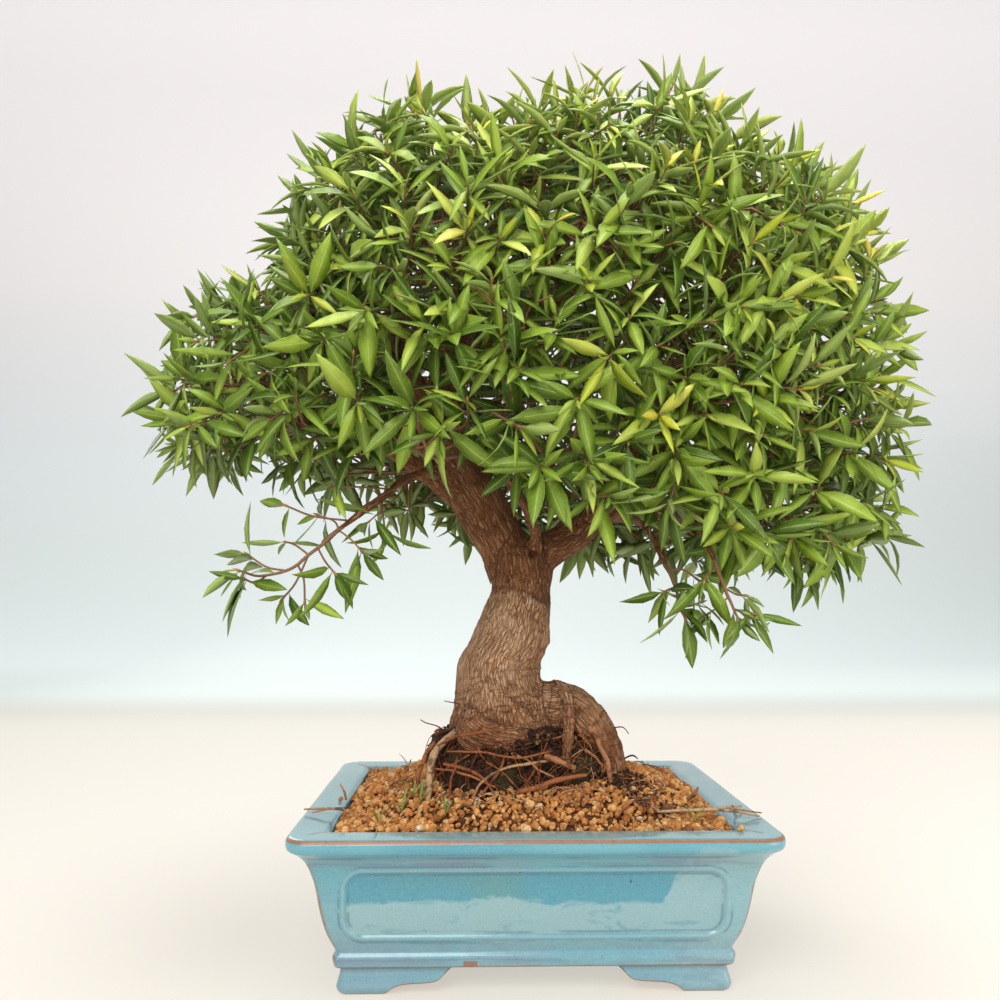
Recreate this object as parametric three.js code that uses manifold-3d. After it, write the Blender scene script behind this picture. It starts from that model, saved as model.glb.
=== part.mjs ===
// Willow leaf fig bonsai in a rectangular glazed pot.
// Millimetres, +Z up, +X to the right, the front towards -Y. The origin is under the middle of the
// pot, on the surface that its feet stand on.
import * as THREE from "three";
import { mergeVertices } from "three/addons/utils/BufferGeometryUtils.js";
import Module from "manifold-3d";

const wasm = await Module();
wasm.setup();

// Driving dimensions
const POT_LENGTH = 270;
const POT_DEPTH = 216;
const RIM_TOP = 88;
const CORNER_RADIUS = 14;
const CORNER_SHARPENING = 0.75;
const SMALLEST_CORNER_RADIUS = 4;
const FLOOR_UNDER = 14.5;
const FLOOR_TOP = 22.5;
const DRAIN_DIAMETER = 18;
const DRAIN_SPACING = 110;
const SCREEN_SIZE = 38;
const SCREEN_THICKNESS = 1;
const CLEARANCE = 0.3;
const CROWN_HALF_LENGTH = 224;
const CROWN_HALF_DEPTH = 122;
const CROWN_MIDDLE = new THREE.Vector3(2, 0, 380);
const CROWN_RISE = 140;
const TALLEST = 574;
const WIDEST = 260;
const DEEPEST = 168;
const LEAF_LENGTH = [30, 40];
const LEAF_ROOT = 9;
const LEAF_SLENDERNESS = 3.8;
const LEAF_THICKNESS = 1.3;
const LEAVES_IN_A_CLUSTER = 9;
const LEAVES_ON_A_SHOOT = 9;

const UP = new THREE.Vector3(0, 0, 1);

// Finishes, as seen in daylight
const FINISHES = {
  glaze: { color: "#67b3cb", roughness: 0.2, metalness: 0 },
  granules: { color: "#b5793f", roughness: 0.95, metalness: 0 },
  peat: { color: "#3d3024", roughness: 1, metalness: 0 },
  plastic: { color: "#23262a", roughness: 0.7, metalness: 0 },
  bark: { color: "#9a7a62", roughness: 0.9, metalness: 0 },
  leaf: { color: "#5f8f35", roughness: 0.45, metalness: 0 },
};

// A repeatable stream of numbers from 0 to 1.
function numbersFrom(seed) {
  let state = seed;
  return () => {
    state = (state + 0x6d2b79f5) | 0;
    let mixed = Math.imul(state ^ (state >>> 15), 1 | state);
    mixed = (mixed + Math.imul(mixed ^ (mixed >>> 7), 61 | mixed)) ^ mixed;
    return ((mixed ^ (mixed >>> 14)) >>> 0) / 4294967296;
  };
}

const random = numbersFrom(20);
const between = (low, high) => low + (high - low) * random();
const clamp = THREE.MathUtils.clamp;
const vec = (x, y, z) => new THREE.Vector3(x, y, z);

// Solids

function solidOf(geometry) {
  const bare = new THREE.BufferGeometry();
  bare.setAttribute("position", geometry.getAttribute("position"));
  bare.setIndex(geometry.index);
  const merged = mergeVertices(bare, 1e-4);
  const mesh = new wasm.Mesh({
    numProp: 3,
    vertProperties: new Float32Array(merged.getAttribute("position").array),
    triVerts: new Uint32Array(merged.index.array),
  });
  return new wasm.Manifold(mesh);
}

function geometryFrom(points, faces) {
  const geometry = new THREE.BufferGeometry();
  geometry.setAttribute("position", new THREE.Float32BufferAttribute(points.flatMap((p) => p.toArray()), 3));
  geometry.setIndex(faces);
  return geometry;
}

// A skin over rings that follow each other, each with as many points, closed by a flat end at both.
function loft(rings) {
  const count = rings[0].length;
  const last = (rings.length - 1) * count;
  const faces = [];
  for (let start = 0; start < last; start += count) {
    for (let i = 0; i < count; i += 1) {
      const a = start + i;
      const b = start + ((i + 1) % count);
      faces.push(a, b, b + count, a, b + count, a + count);
    }
  }
  for (let i = 1; i + 1 < count; i += 1) {
    faces.push(0, i + 1, i, last, last + i, last + i + 1);
  }
  return solidOf(geometryFrom(rings.flat(), faces));
}

// An outline drawn in the plane of x and z, made as deep as asked along y from the given place.
function plate(shape, fromY, depth) {
  const geometry = new THREE.ExtrudeGeometry(shape, { depth, bevelEnabled: false, curveSegments: 3 });
  geometry.rotateX(Math.PI / 2);
  geometry.translate(0, fromY + depth, 0);
  return solidOf(geometry);
}

// A round bar along a path; grow widens and lengthens it, for the hole that it lies in.
function tube(path, radii, sides, grow = 0) {
  const last = path.length - 1;
  const rings = [];
  let side = vec(1, 0.2, 0.1);
  path.forEach((point, i) => {
    const before = path[Math.max(i - 1, 0)];
    const after = path[Math.min(i + 1, last)];
    const along = after.clone().sub(before).normalize();
    side = side.clone().addScaledVector(along, -side.dot(along)).normalize();
    const across = along.clone().cross(side);
    const past = i === 0 ? -grow : i === last ? grow : 0;
    const centre = point.clone().addScaledVector(along, past);
    const radius = radii[i] + grow;
    const ring = [];
    for (let k = 0; k < sides; k += 1) {
      const angle = (k / sides) * 2 * Math.PI;
      const spoke = side.clone().multiplyScalar(radius * Math.cos(angle));
      ring.push(spoke.addScaledVector(across, radius * Math.sin(angle)).add(centre));
    }
    rings.push(ring);
  });
  return loft(rings);
}

function largest(solid) {
  const lumps = solid.decompose();
  return lumps.reduce((best, lump) => (lump.volume() > best.volume() ? lump : best));
}

function union(solids) {
  return solids.reduce((whole, solid) => whole.add(solid));
}

// Pot

// One level outline of the pot's body, whose corners are rounder towards the rim. edgeSteps adds points
// along its straight sides.
function outline(inset, height, edgeSteps = 1) {
  const radius = Math.max(CORNER_RADIUS - inset * CORNER_SHARPENING, SMALLEST_CORNER_RADIUS);
  const halfLength = POT_LENGTH / 2 - inset;
  const halfDepth = POT_DEPTH / 2 - inset;
  const corners = [
    [1, -1, -90],
    [1, 1, 0],
    [-1, 1, 90],
    [-1, -1, 180],
  ];
  const arcs = corners.map(([sx, sy, start]) => {
    const middle = vec(sx * (halfLength - radius), sy * (halfDepth - radius), height);
    return [0, 30, 60, 90].map((turn) => {
      const angle = THREE.MathUtils.degToRad(start + turn);
      return middle.clone().add(vec(radius * Math.cos(angle), radius * Math.sin(angle), 0));
    });
  });
  return arcs.flatMap((arc, i) => {
    const from = arc[arc.length - 1];
    const to = arcs[(i + 1) % arcs.length][0];
    const extra = Array.from({ length: edgeSteps - 1 }, (_, k) => from.clone().lerp(to, (k + 1) / edgeSteps));
    return [...arc, ...extra];
  });
}

// Inset from the rim's outer edge and height, from the underside of the floor to the top of the rim.
const WALL_OUTSIDE = [
  [28, FLOOR_UNDER],
  [24.6, FLOOR_UNDER + 1.2],
  [24.2, 20.5],
  [25.4, 22.5],
  [20.8, 34],
  [17.8, 46],
  [15.2, 61],
  [12.6, 69],
  [9.4, 74.5],
  [4.6, 78.5],
  [0.8, 81],
  [0, 83.5],
  [0, 86],
  [1.5, RIM_TOP - 0.3],
  [8, RIM_TOP],
];
const WALL_INSIDE = [
  [30, FLOOR_TOP],
  [24, 80],
  [22.8, 86],
  [21, RIM_TOP + 1],
];
const FOOT_OUTSIDE = [
  [28.4, 0],
  [26.4, 4],
  [28.2, 11],
  [28.2, FLOOR_UNDER + 2],
];
const FOOT_THICKNESS = 11;
const PANEL = { halfLength: 104, halfDepth: 77, low: 31.5, high: 69, corner: 11 };
const PANEL_RECESS = 1.2;

const body = (profile) => loft(profile.map(([inset, z]) => outline(inset, z)));

// A panel's outline: a rectangle with rounded corners.
function panelShape(right) {
  const { low: bottom, high: top, corner } = PANEL;
  const shape = new THREE.Shape();
  shape.moveTo(-right + corner, bottom);
  shape.lineTo(right - corner, bottom);
  shape.quadraticCurveTo(right, bottom, right, bottom + corner);
  shape.lineTo(right, top - corner);
  shape.quadraticCurveTo(right, top, right - corner, top);
  shape.lineTo(-right + corner, top);
  shape.quadraticCurveTo(-right, top, -right, top - corner);
  shape.lineTo(-right, bottom + corner);
  shape.quadraticCurveTo(-right, bottom, -right + corner, bottom);
  return shape;
}

// The panels on all four walls, as bars that run right through the pot.
function panelBars() {
  const long = plate(panelShape(PANEL.halfLength), -POT_DEPTH, POT_DEPTH * 2);
  const short = plate(panelShape(PANEL.halfDepth), -POT_LENGTH, POT_LENGTH * 2).rotate([0, 0, 90]);
  return long.add(short);
}

// The gap between two feet: it leaves the flat of the foot, swells, and runs up to the pot.
function footGap(half, flat) {
  const start = half - flat;
  const shape = new THREE.Shape();
  shape.moveTo(-start, -1);
  shape.lineTo(-start, 0.01);
  shape.bezierCurveTo(-start + 3, 3.6, -start + 6, 5, -start + 12, 5.4);
  shape.bezierCurveTo(-start + 18, 5.8, -start + 24, 5.6, -start + 28, 6.8);
  shape.bezierCurveTo(-start + 32, 8.5, -start + 33, 13, -start + 44, FLOOR_UNDER + 4);
  shape.lineTo(start - 44, FLOOR_UNDER + 4);
  shape.bezierCurveTo(start - 33, 13, start - 32, 8.5, start - 28, 6.8);
  shape.bezierCurveTo(start - 24, 5.6, start - 18, 5.8, start - 12, 5.4);
  shape.bezierCurveTo(start - 6, 5, start - 3, 3.6, start, 0.01);
  shape.lineTo(start, -1);
  return shape;
}

function pot() {
  const inner = body(WALL_OUTSIDE.map(([inset, z]) => [inset + PANEL_RECESS, z]));
  let solid = body(WALL_OUTSIDE).subtract(panelBars()).add(inner);
  const hollowUnder = FOOT_OUTSIDE.map(([inset, z]) => [inset + FOOT_THICKNESS, z]);
  hollowUnder[0][1] = -1;
  hollowUnder[3][1] = FLOOR_UNDER + 4;
  const footLength = POT_LENGTH / 2 - FOOT_OUTSIDE[0][0];
  const footDepth = POT_DEPTH / 2 - FOOT_OUTSIDE[0][0];
  const longGap = plate(footGap(footLength, 25), -POT_DEPTH, POT_DEPTH * 2);
  const shortGap = plate(footGap(footDepth, 22), -POT_LENGTH, POT_LENGTH * 2).rotate([0, 0, 90]);
  const feet = body(FOOT_OUTSIDE).subtract(body(hollowUnder)).subtract(longGap).subtract(shortGap);
  solid = solid.add(feet).subtract(body(WALL_INSIDE));
  for (const side of [-1, 1]) {
    const hole = new THREE.CylinderGeometry(DRAIN_DIAMETER / 2, DRAIN_DIAMETER / 2, 20, 16);
    hole.rotateX(Math.PI / 2);
    hole.translate((side * DRAIN_SPACING) / 2, 0, (FLOOR_UNDER + FLOOR_TOP) / 2);
    solid = solid.subtract(solidOf(hole));
  }
  return solid;
}

// Drain screens: thin plastic squares with square holes, lying over the drain holes.
const SCREEN_HOLE = 12;
const SCREEN_PITCH = 16;

function block(size, height, x, y, z) {
  const geometry = new THREE.BoxGeometry(size, size, height);
  geometry.translate(x, y, z);
  return solidOf(geometry);
}

function drainScreen(side) {
  const middle = (side * DRAIN_SPACING) / 2;
  const height = FLOOR_TOP + CLEARANCE + SCREEN_THICKNESS / 2;
  let solid = block(SCREEN_SIZE, SCREEN_THICKNESS, middle, 0, height);
  for (const column of [-0.5, 0.5]) {
    for (const row of [-0.5, 0.5]) {
      const x = middle + column * SCREEN_PITCH;
      solid = solid.subtract(block(SCREEN_HOLE, SCREEN_THICKNESS * 3, x, row * SCREEN_PITCH, height));
    }
  }
  return solid;
}

function screenPocket(side) {
  const top = FLOOR_TOP + SCREEN_THICKNESS + 2 * CLEARANCE;
  return block(SCREEN_SIZE + 2 * CLEARANCE, 4, (side * DRAIN_SPACING) / 2, 0, top - 2);
}

// Soil: a heap of granules, level with the rim at the walls and higher round the trunk.
const SOIL_EDGE = 85.5;
const SOIL_RISE = 17;
const SOIL_BUMP = 1.4;

function soilHeight(x, y) {
  const reach = Math.hypot(x / 112, y / 85);
  const climb = clamp((1 - reach) / 0.42, 0, 1);
  const backSlope = y > 0 ? 1 - 0.25 * clamp(y / 85, 0, 1) : 1;
  return SOIL_EDGE + SOIL_RISE * backSlope * climb * (2 - climb);
}

function soil() {
  const edgeSteps = 4;
  const levels = [
    [30 + 3 * CLEARANCE, FLOOR_TOP + CLEARANCE],
    [24 + CLEARANCE, 80],
  ];
  const rings = levels.map(([inset, z]) => outline(inset, z, edgeSteps));
  const edge = outline(23 + CLEARANCE, SOIL_EDGE, edgeSteps);
  for (const scale of [1, 0.91, 0.81, 0.71, 0.61, 0.48]) {
    rings.push(
      edge.map((p) => {
        const bump = scale < 1 ? between(-SOIL_BUMP, SOIL_BUMP) : between(-1, 0.2);
        const x = p.x * scale;
        const y = p.y * scale;
        return vec(x, y, soilHeight(x, y) + bump);
      }),
    );
  }
  return loft(rings);
}

// Root ball: the dark lump of older soil under the trunk. Height, half length and half depth.
const ROOT_BALL_MIDDLE = vec(-6, -8, 0);
const ROOT_BALL = [
  [62, 38, 34],
  [96, 60, 54],
  [107, 57, 52],
  [118, 53, 45],
  [128, 47, 38],
  [134, 36, 28],
];

function rootBall(grow = 0) {
  const sides = 12;
  const rings = ROOT_BALL.map(([z, halfLength, halfDepth], level) => {
    const lift = level === 0 ? -grow : grow;
    return Array.from({ length: sides }, (_, k) => {
      const angle = (k / sides) * 2 * Math.PI;
      const swell = 1 + 0.06 * Math.sin(3 * angle + level) + 0.04 * Math.cos(5 * angle - level);
      const x = (halfLength * swell + grow * 1.3) * Math.cos(angle);
      const y = (halfDepth * swell + grow * 1.3) * Math.sin(angle);
      return vec(x, y, z + lift).add(ROOT_BALL_MIDDLE);
    });
  });
  return loft(rings);
}

// Trunk: level outlines as height, left, right, front and back.
const TRUNK_SIDES = 12;
const TRUNK = [
  [98, -49, 30, -40, 29],
  [126, -51, 21, -43, 29],
  [148, -46.5, 13, -36, 26],
  [161, -46, 8, -31, 25],
  [174, -44.5, 9, -28, 24],
  [187, -37, 15, -26, 24],
  [200, -31, 16, -24, 23],
  [213, -26, 17, -21, 21],
  [221, -24, 17, -19, 19],
  [229, -26, 18, -20, 21],
  [241, -30, 18, -20, 20],
  [253, -29, 12, -15, 16],
];

function trunkColumn(grow) {
  const rings = TRUNK.map(([z, left, right, front, back], level) => {
    const lift = level === 0 ? -grow : level === TRUNK.length - 1 ? grow : 0;
    return Array.from({ length: TRUNK_SIDES }, (_, k) => {
      const angle = (k / TRUNK_SIDES) * 2 * Math.PI;
      const fold = 1 + 0.035 * Math.sin(4 * angle + 0.7 * level);
      const halfLength = ((right - left) / 2) * fold + grow;
      const halfDepth = ((back - front) / 2) * fold + grow;
      const x = (left + right) / 2 + halfLength * Math.cos(angle);
      const y = (front + back) / 2 + halfDepth * Math.sin(angle);
      return vec(x, y, z + lift);
    });
  });
  return loft(rings);
}

// Wood that leaves the trunk: each bar is a list of x, y, z and radius from its root to its tip.
const KNEE = [
  [-8, -6, 140, 19],
  [18, -8, 140, 20],
  [31, -10, 134, 20.5],
  [39, -11, 122, 20],
  [43, -12, 108, 20],
  [44, -12, 92, 18],
];
const STRAP = [
  [14, 6, 158, 3],
  [20, -10, 163, 3.6],
  [24, -27, 154, 3.6],
  [24, -36, 138, 3.4],
  [22, -44, 120, 3.4],
  [20, -52, 100, 3],
];
const LIMBS = {
  leader: [
    [-7, 0, 230, 18],
    [-19, -1, 254, 16.5],
    [-30, -2, 272, 17.5],
    [-43, -3, 292, 17.5],
    [-54, -3, 316, 15],
    [-58, -2, 348, 12.5],
    [-50, 0, 388, 10],
    [-32, 2, 428, 7.5],
    [-14, 2, 464, 5],
  ],
  right: [
    [0, 0, 234, 12],
    [16, -1, 248, 11.5],
    [30, -1, 257, 10.5],
    [46, 0, 267, 9.5],
    [78, 3, 288, 8.5],
    [116, 6, 314, 7],
    [146, 6, 346, 5],
  ],
  centre: [
    [2, -6, 240, 4],
    [4, -22, 252, 3.6],
    [-3, -42, 271, 3],
    [-14, -62, 288, 2.6],
    [-22, -80, 300, 2.4],
  ],
  left: [
    [-44, -3, 284, 12],
    [-66, -6, 300, 9.5],
    [-98, -10, 318, 8],
    [-134, -12, 336, 6],
  ],
  frontLeft: [
    [-48, -4, 300, 9],
    [-60, -26, 320, 7.5],
    [-72, -50, 342, 6],
    [-82, -66, 364, 4.5],
  ],
  back: [
    [-34, 2, 276, 9],
    [-32, 24, 298, 8],
    [-30, 46, 322, 6.5],
    [-30, 64, 350, 5],
  ],
  backRight: [
    [26, 2, 254, 8],
    [46, 22, 276, 7.5],
    [70, 44, 304, 6],
    [94, 60, 336, 4.5],
  ],
  frontRight: [
    [40, 0, 264, 7.5],
    [58, -24, 284, 6.5],
    [78, -48, 306, 5.5],
    [96, -62, 334, 4.2],
  ],
  upperRight: [
    [-56, -2, 356, 8.5],
    [-22, -6, 388, 7],
    [22, -8, 418, 6],
    [66, -6, 446, 4.5],
  ],
  backLeft: [
    [-56, -2, 330, 8],
    [-74, 28, 362, 6.5],
    [-92, 56, 396, 5],
  ],
  low: [
    [-54, -6, 302, 5],
    [-76, -34, 290, 4],
    [-98, -60, 270, 3.2],
    [-114, -78, 254, 2.6],
    [-122, -84, 246, 2.2],
  ],
};

function bar(stations, sides, steps, grow = 0) {
  const curve = new THREE.CatmullRomCurve3(stations.map(([x, y, z]) => vec(x, y, z)));
  const path = curve.getPoints(steps);
  const radii = path.map((_, i) => {
    const place = (i / steps) * (stations.length - 1);
    const low = Math.min(Math.floor(place), stations.length - 2);
    return THREE.MathUtils.lerp(stations[low][3], stations[low + 1][3], place - low);
  });
  return tube(path, radii, sides, grow);
}

// Thin roots that leave the bark's lower edge, run down the root ball and enter the soil.
function thinRoots() {
  const count = 8;
  return Array.from({ length: count }, (_, i) => {
    const angle = ((i + between(-0.25, 0.25)) / count) * 2 * Math.PI;
    const turn = angle + between(-0.3, 0.3);
    const thick = between(1.6, 3.2);
    const away = [Math.cos(angle), Math.sin(angle)];
    const lean = [Math.cos(turn), Math.sin(turn)];
    return [
      [-14 + 26 * away[0], -6 + 22 * away[1], 136, thick + 1],
      [-12 + 48 * away[0], -8 + 41 * away[1], 124, thick],
      [-8 + 57 * lean[0], -8 + 51 * lean[1], 111, thick * 0.9],
      [-6 + 64 * lean[0], -8 + 58 * lean[1], 99, thick * 0.7],
    ];
  });
}

// Crown: the clusters of foliage sit on a dome over a short skirt, open underneath, with its right
// side lower and fuller. They start on a spiral and push each other apart until they are spread evenly.
const CLUSTERS = 40;
const GOLDEN_TURN = 2.39996;
const CLUSTER_SPACING = 106;
const SKIRT_LEVEL = 290;
const SKIRT_TILT = 38;

// The dome seen from the front: degrees from the right over the top, and the reach from its middle.
const CROWN_OUTLINE = [
  [-90, 260],
  [-60, 258],
  [-30, 230],
  [-15, 215],
  [0, 202],
  [15, 193],
  [30, 184],
  [45, 170],
  [60, 160],
  [75, 146],
  [90, 132],
  [105, 130],
  [120, 142],
  [135, 147],
  [150, 151],
  [165, 174],
  [180, 208],
  [195, 224],
  [210, 232],
  [240, 255],
  [270, 260],
];

function crownReach(x, z) {
  const turn = THREE.MathUtils.radToDeg(Math.atan2(z, x));
  const degrees = turn < -90 ? turn + 360 : turn;
  const above = Math.max(1, CROWN_OUTLINE.findIndex(([at]) => at >= degrees));
  const [low, near] = CROWN_OUTLINE[above - 1];
  const [high, far] = CROWN_OUTLINE[above];
  return THREE.MathUtils.lerp(near, far, (degrees - low) / (high - low));
}

function ontoCrown(spot) {
  const from = spot.clone().sub(CROWN_MIDDLE);
  for (let step = 0; step < 6; step += 1) {
    const lowest = SKIRT_LEVEL - (SKIRT_TILT * from.x) / CROWN_HALF_LENGTH - CROWN_MIDDLE.z;
    const inFront = Math.hypot(from.x, from.z) / crownReach(from.x, from.z);
    from.divideScalar(Math.hypot(inFront, from.y / CROWN_HALF_DEPTH));
    from.z = Math.max(from.z, lowest);
  }
  return from.add(CROWN_MIDDLE);
}

function crownPlaces() {
  let places = Array.from({ length: CLUSTERS }, (_, i) => {
    const down = (i + 0.5) / CLUSTERS;
    const round = i * GOLDEN_TURN;
    const x = CROWN_HALF_LENGTH * Math.sqrt(down) * Math.cos(round);
    const y = CROWN_HALF_DEPTH * Math.sqrt(down) * Math.sin(round);
    return ontoCrown(CROWN_MIDDLE.clone().add(vec(x, y, CROWN_RISE * (1 - 1.7 * down))));
  });
  for (let round = 0; round < 80; round += 1) {
    places = places.map((place) => {
      const push = vec(0, 0, 0);
      for (const other of places) {
        const away = place.clone().sub(other);
        const distance = away.length();
        if (distance > 0 && distance < CLUSTER_SPACING) {
          push.addScaledVector(away, (CLUSTER_SPACING - distance) / distance / 4);
        }
      }
      return ontoCrown(place.clone().add(push));
    });
  }
  return places;
}

const CORE_ACROSS = 50;
const CORE_THICK = 22;
const CORE_SPACING = 5;
const TWIG_RADIUS = 2;
const TWIG_SHOWS = 8;
const SHORTEST_TWIG = 62;

// The wood that a cluster grows on: from the nearest limb below it to just under its core.
function twigTo(place, limbPoints) {
  let best = null;
  let least = Infinity;
  for (const spot of limbPoints) {
    const distance = spot.point.distanceTo(place);
    const cost = distance + 1.2 * Math.max(0, spot.point.z - place.z + 25);
    if (distance > SHORTEST_TWIG && cost < least) {
      least = cost;
      best = spot;
    }
  }
  const start = best.point;
  const towards = place.clone().sub(start).normalize();
  const end = place.clone().addScaledVector(towards, -(CORE_THICK + TWIG_SHOWS));
  const length = start.distanceTo(end);
  const bend = vec(between(-1, 1), between(-1, 1), between(-1.2, 0.2)).multiplyScalar(length * 0.1);
  const middle = start.clone().lerp(end, 0.5).add(bend);
  const along = end.clone().sub(middle).normalize();
  const thick = Math.min(best.radius * 0.7, TWIG_RADIUS + length * 0.02);
  return { path: [start, middle, end], radii: [thick, (thick + TWIG_RADIUS) / 2, TWIG_RADIUS], end, along };
}

function limbPoints() {
  return Object.values(LIMBS).flatMap((stations) => {
    const curve = new THREE.CatmullRomCurve3(stations.map(([x, y, z]) => vec(x, y, z)));
    const steps = Math.round(curve.getLength() / 10);
    return curve.getPoints(steps).flatMap((point, i) => {
      const part = i / steps;
      const place = part * (stations.length - 1);
      const low = Math.min(Math.floor(place), stations.length - 2);
      const radius = THREE.MathUtils.lerp(stations[low][3], stations[low + 1][3], place - low);
      return part > 0.3 && point.z > 262 ? [{ point, radius }] : [];
    });
  });
}

// The smaller lump inside a cluster that its leaves stand out of, kept clear of the clusters beside it.
function core(place, others) {
  const outward = place.clone().sub(CROWN_MIDDLE).normalize();
  const geometry = new THREE.IcosahedronGeometry(1, 0);
  const turns = new THREE.Euler(between(0, 6), between(0, 6), between(0, 6));
  const spin = new THREE.Quaternion().setFromEuler(turns);
  const ball = mergeVertices(
    new THREE.BufferGeometry().setAttribute("position", geometry.getAttribute("position")),
    1e-4,
  );
  const corners = ball.getAttribute("position");
  for (let i = 0; i < corners.count; i += 1) {
    const ray = vec(corners.getX(i), corners.getY(i), corners.getZ(i)).normalize().applyQuaternion(spin);
    const lift = ray.dot(outward);
    const flat = Math.sqrt(1 - lift * lift);
    let reach = between(0.8, 1.15) / Math.hypot(flat / CORE_ACROSS, lift / CORE_THICK);
    for (const other of others) {
      const gap = other.clone().sub(place);
      const facing = ray.dot(gap.clone().normalize());
      if (facing > 0.05) {
        reach = Math.min(reach, (gap.length() / 2 - CORE_SPACING / 2) / facing);
      }
    }
    corners.setXYZ(i, ...place.clone().addScaledVector(ray, reach).toArray());
  }
  return solidOf(ball);
}

// One leaf: pointed at both ends, arched along its length and folded along its midrib.
function leaf(root, along, face, length) {
  const across = along.clone().cross(face).normalize();
  const normal = across.clone().cross(along).normalize();
  const half = length / LEAF_SLENDERNESS / 2;
  const at = (part, side, lift) =>
    root
      .clone()
      .addScaledVector(along, length * part)
      .addScaledVector(across, half * side)
      .addScaledVector(normal, lift - length * 0.12 * part * part);
  const fold = half * 0.3;
  const points = [
    at(0, 0, 0),
    at(0.3, -0.9, fold),
    at(0.64, -0.85, fold),
    at(1, 0, 0),
    at(0.64, 0.85, fold),
    at(0.3, 0.9, fold),
    at(0.45, 0, LEAF_THICKNESS * 0.5),
    at(0.45, 0, -LEAF_THICKNESS * 0.5),
  ];
  const rim = 6;
  const faces = [];
  for (let i = 0; i < rim; i += 1) {
    const next = (i + 1) % rim;
    faces.push(next, i, 6, i, next, 7);
  }
  return solidOf(geometryFrom(points, faces));
}

function near(a, b, margin) {
  return [0, 1, 2].every((axis) => a.min[axis] - margin < b.max[axis] && b.min[axis] - margin < a.max[axis]);
}

function insideCrown(box) {
  const wide = Math.max(-box.min[0], box.max[0]);
  const deep = Math.max(-box.min[1], box.max[1]);
  return box.max[2] < TALLEST && wide < WIDEST && deep < DEEPEST;
}

const LEAF_SPACING = 0.45;

function clearOf(solid, box, things) {
  return things.every((thing) => {
    if (!near(box, thing.box, LEAF_SPACING)) {
      return true;
    }
    return solid.intersect(thing.solid).isEmpty() && solid.minGap(thing.solid, 1) > LEAF_SPACING;
  });
}

// Grows leaves on a node from the seats it offers, each clear of all that is there already.
function growLeaves(node, seats, wanted, taken) {
  let grown = 0;
  for (const seat of seats) {
    if (grown === wanted) {
      break;
    }
    const root = seat.base.clone().addScaledVector(seat.along, -LEAF_ROOT);
    const blade = leaf(root, seat.along, seat.face, between(...LEAF_LENGTH) + LEAF_ROOT);
    const box = blade.boundingBox();
    const others = taken.filter((thing) => thing.node !== node || thing.blade);
    if (insideCrown(box) && clearOf(blade, box, others)) {
      node.parts.push(blade);
      taken.push({ solid: blade, box, node, blade: true });
      grown += 1;
    }
  }
}

const WHORLS = 26;
const LEAVES_IN_A_WHORL = 3;

// Seats on a core: whorls of leaves that spread from points round its outer side.
function whorlSeats(node) {
  const { place, outward } = node;
  const seats = [];
  for (let whorl = 0; whorl < WHORLS; whorl += 1) {
    const tilt = THREE.MathUtils.degToRad(whorl === 0 ? 0 : between(25, 105));
    const turn = whorl * GOLDEN_TURN + between(-0.3, 0.3);
    const side = vec(-outward.y, outward.x, 0.001).normalize();
    const other = outward.clone().cross(side);
    const flat = side.clone().multiplyScalar(Math.cos(turn)).addScaledVector(other, Math.sin(turn));
    const axis = outward.clone().multiplyScalar(Math.cos(tilt)).addScaledVector(flat, Math.sin(tilt));
    const reach = 0.8 / Math.hypot(Math.sin(tilt) / CORE_ACROSS, Math.cos(tilt) / CORE_THICK);
    const base = place.clone().addScaledVector(axis, reach);
    const first = between(0, 6.28);
    for (let k = 0; k < LEAVES_IN_A_WHORL; k += 1) {
      const spin = first + k * 2.1;
      const a = vec(axis.z, 0.3, -axis.x).cross(axis).normalize();
      const b = axis.clone().cross(a);
      const spread = a.multiplyScalar(Math.cos(spin)).addScaledVector(b, Math.sin(spin));
      const along = axis.clone().addScaledVector(spread, between(0.7, 1.5)).normalize();
      const face = axis.clone().multiplyScalar(0.9).addScaledVector(UP, 0.5).addScaledVector(spread, -0.3);
      seats.push({ base, along, face: face.normalize() });
    }
  }
  return seats;
}

const SHOOT_SEATS = 26;

// Seats along a bare hanging shoot, alternating round it and closer towards its tip.
function shootSeats(path) {
  const curve = new THREE.CatmullRomCurve3(path);
  return Array.from({ length: SHOOT_SEATS }, (_, i) => {
    const part = 1 - 0.85 * Math.pow(i / SHOOT_SEATS, 1.3);
    const along = curve.getTangent(part);
    const side = along.clone().cross(UP).normalize();
    const over = side.clone().cross(along);
    const turn = i * 2.4;
    const spread = side.multiplyScalar(Math.cos(turn)).addScaledVector(over, Math.sin(turn));
    const aim = along.clone().addScaledVector(spread, 0.9).addScaledVector(UP, -0.25).normalize();
    const base = curve.getPoint(part).addScaledVector(aim, LEAF_ROOT - 1);
    return { base, along: aim, face: UP.clone().addScaledVector(spread, 0.3).normalize() };
  });
}

// Thin shoots that hang below the crown: where each leaves the wood, and its way down.
const SHOOTS = {
  hanging_shoot_left: {
    way: [
      [-122, -84, 246],
      [-138, -90, 236],
      [-154, -92, 232],
      [-170, -92, 230],
    ],
  },
  hanging_shoot_right: {
    limb: [
      [78, -48, 306, 3.4],
      [92, -72, 282, 2.8],
      [102, -88, 252, 2.4],
      [107, -94, 234, 2],
    ],
    way: [
      [107, -94, 234],
      [111, -97, 220],
      [116, -99, 207],
      [122, -100, 195],
    ],
  },
  hanging_shoot_middle: {
    limb: [
      [58, -24, 284, 3.2],
      [64, -46, 266, 2.6],
      [68, -62, 246, 2.2],
      [71, -72, 233, 2],
    ],
    way: [
      [71, -72, 233],
      [74, -78, 220],
      [76, -81, 209],
      [78, -83, 198],
    ],
  },
};

// Assembly

const places = crownPlaces();
const spots = limbPoints();
const twigs = places.map((place) => twigTo(place, spots));
const roots = thinRoots();

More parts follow.
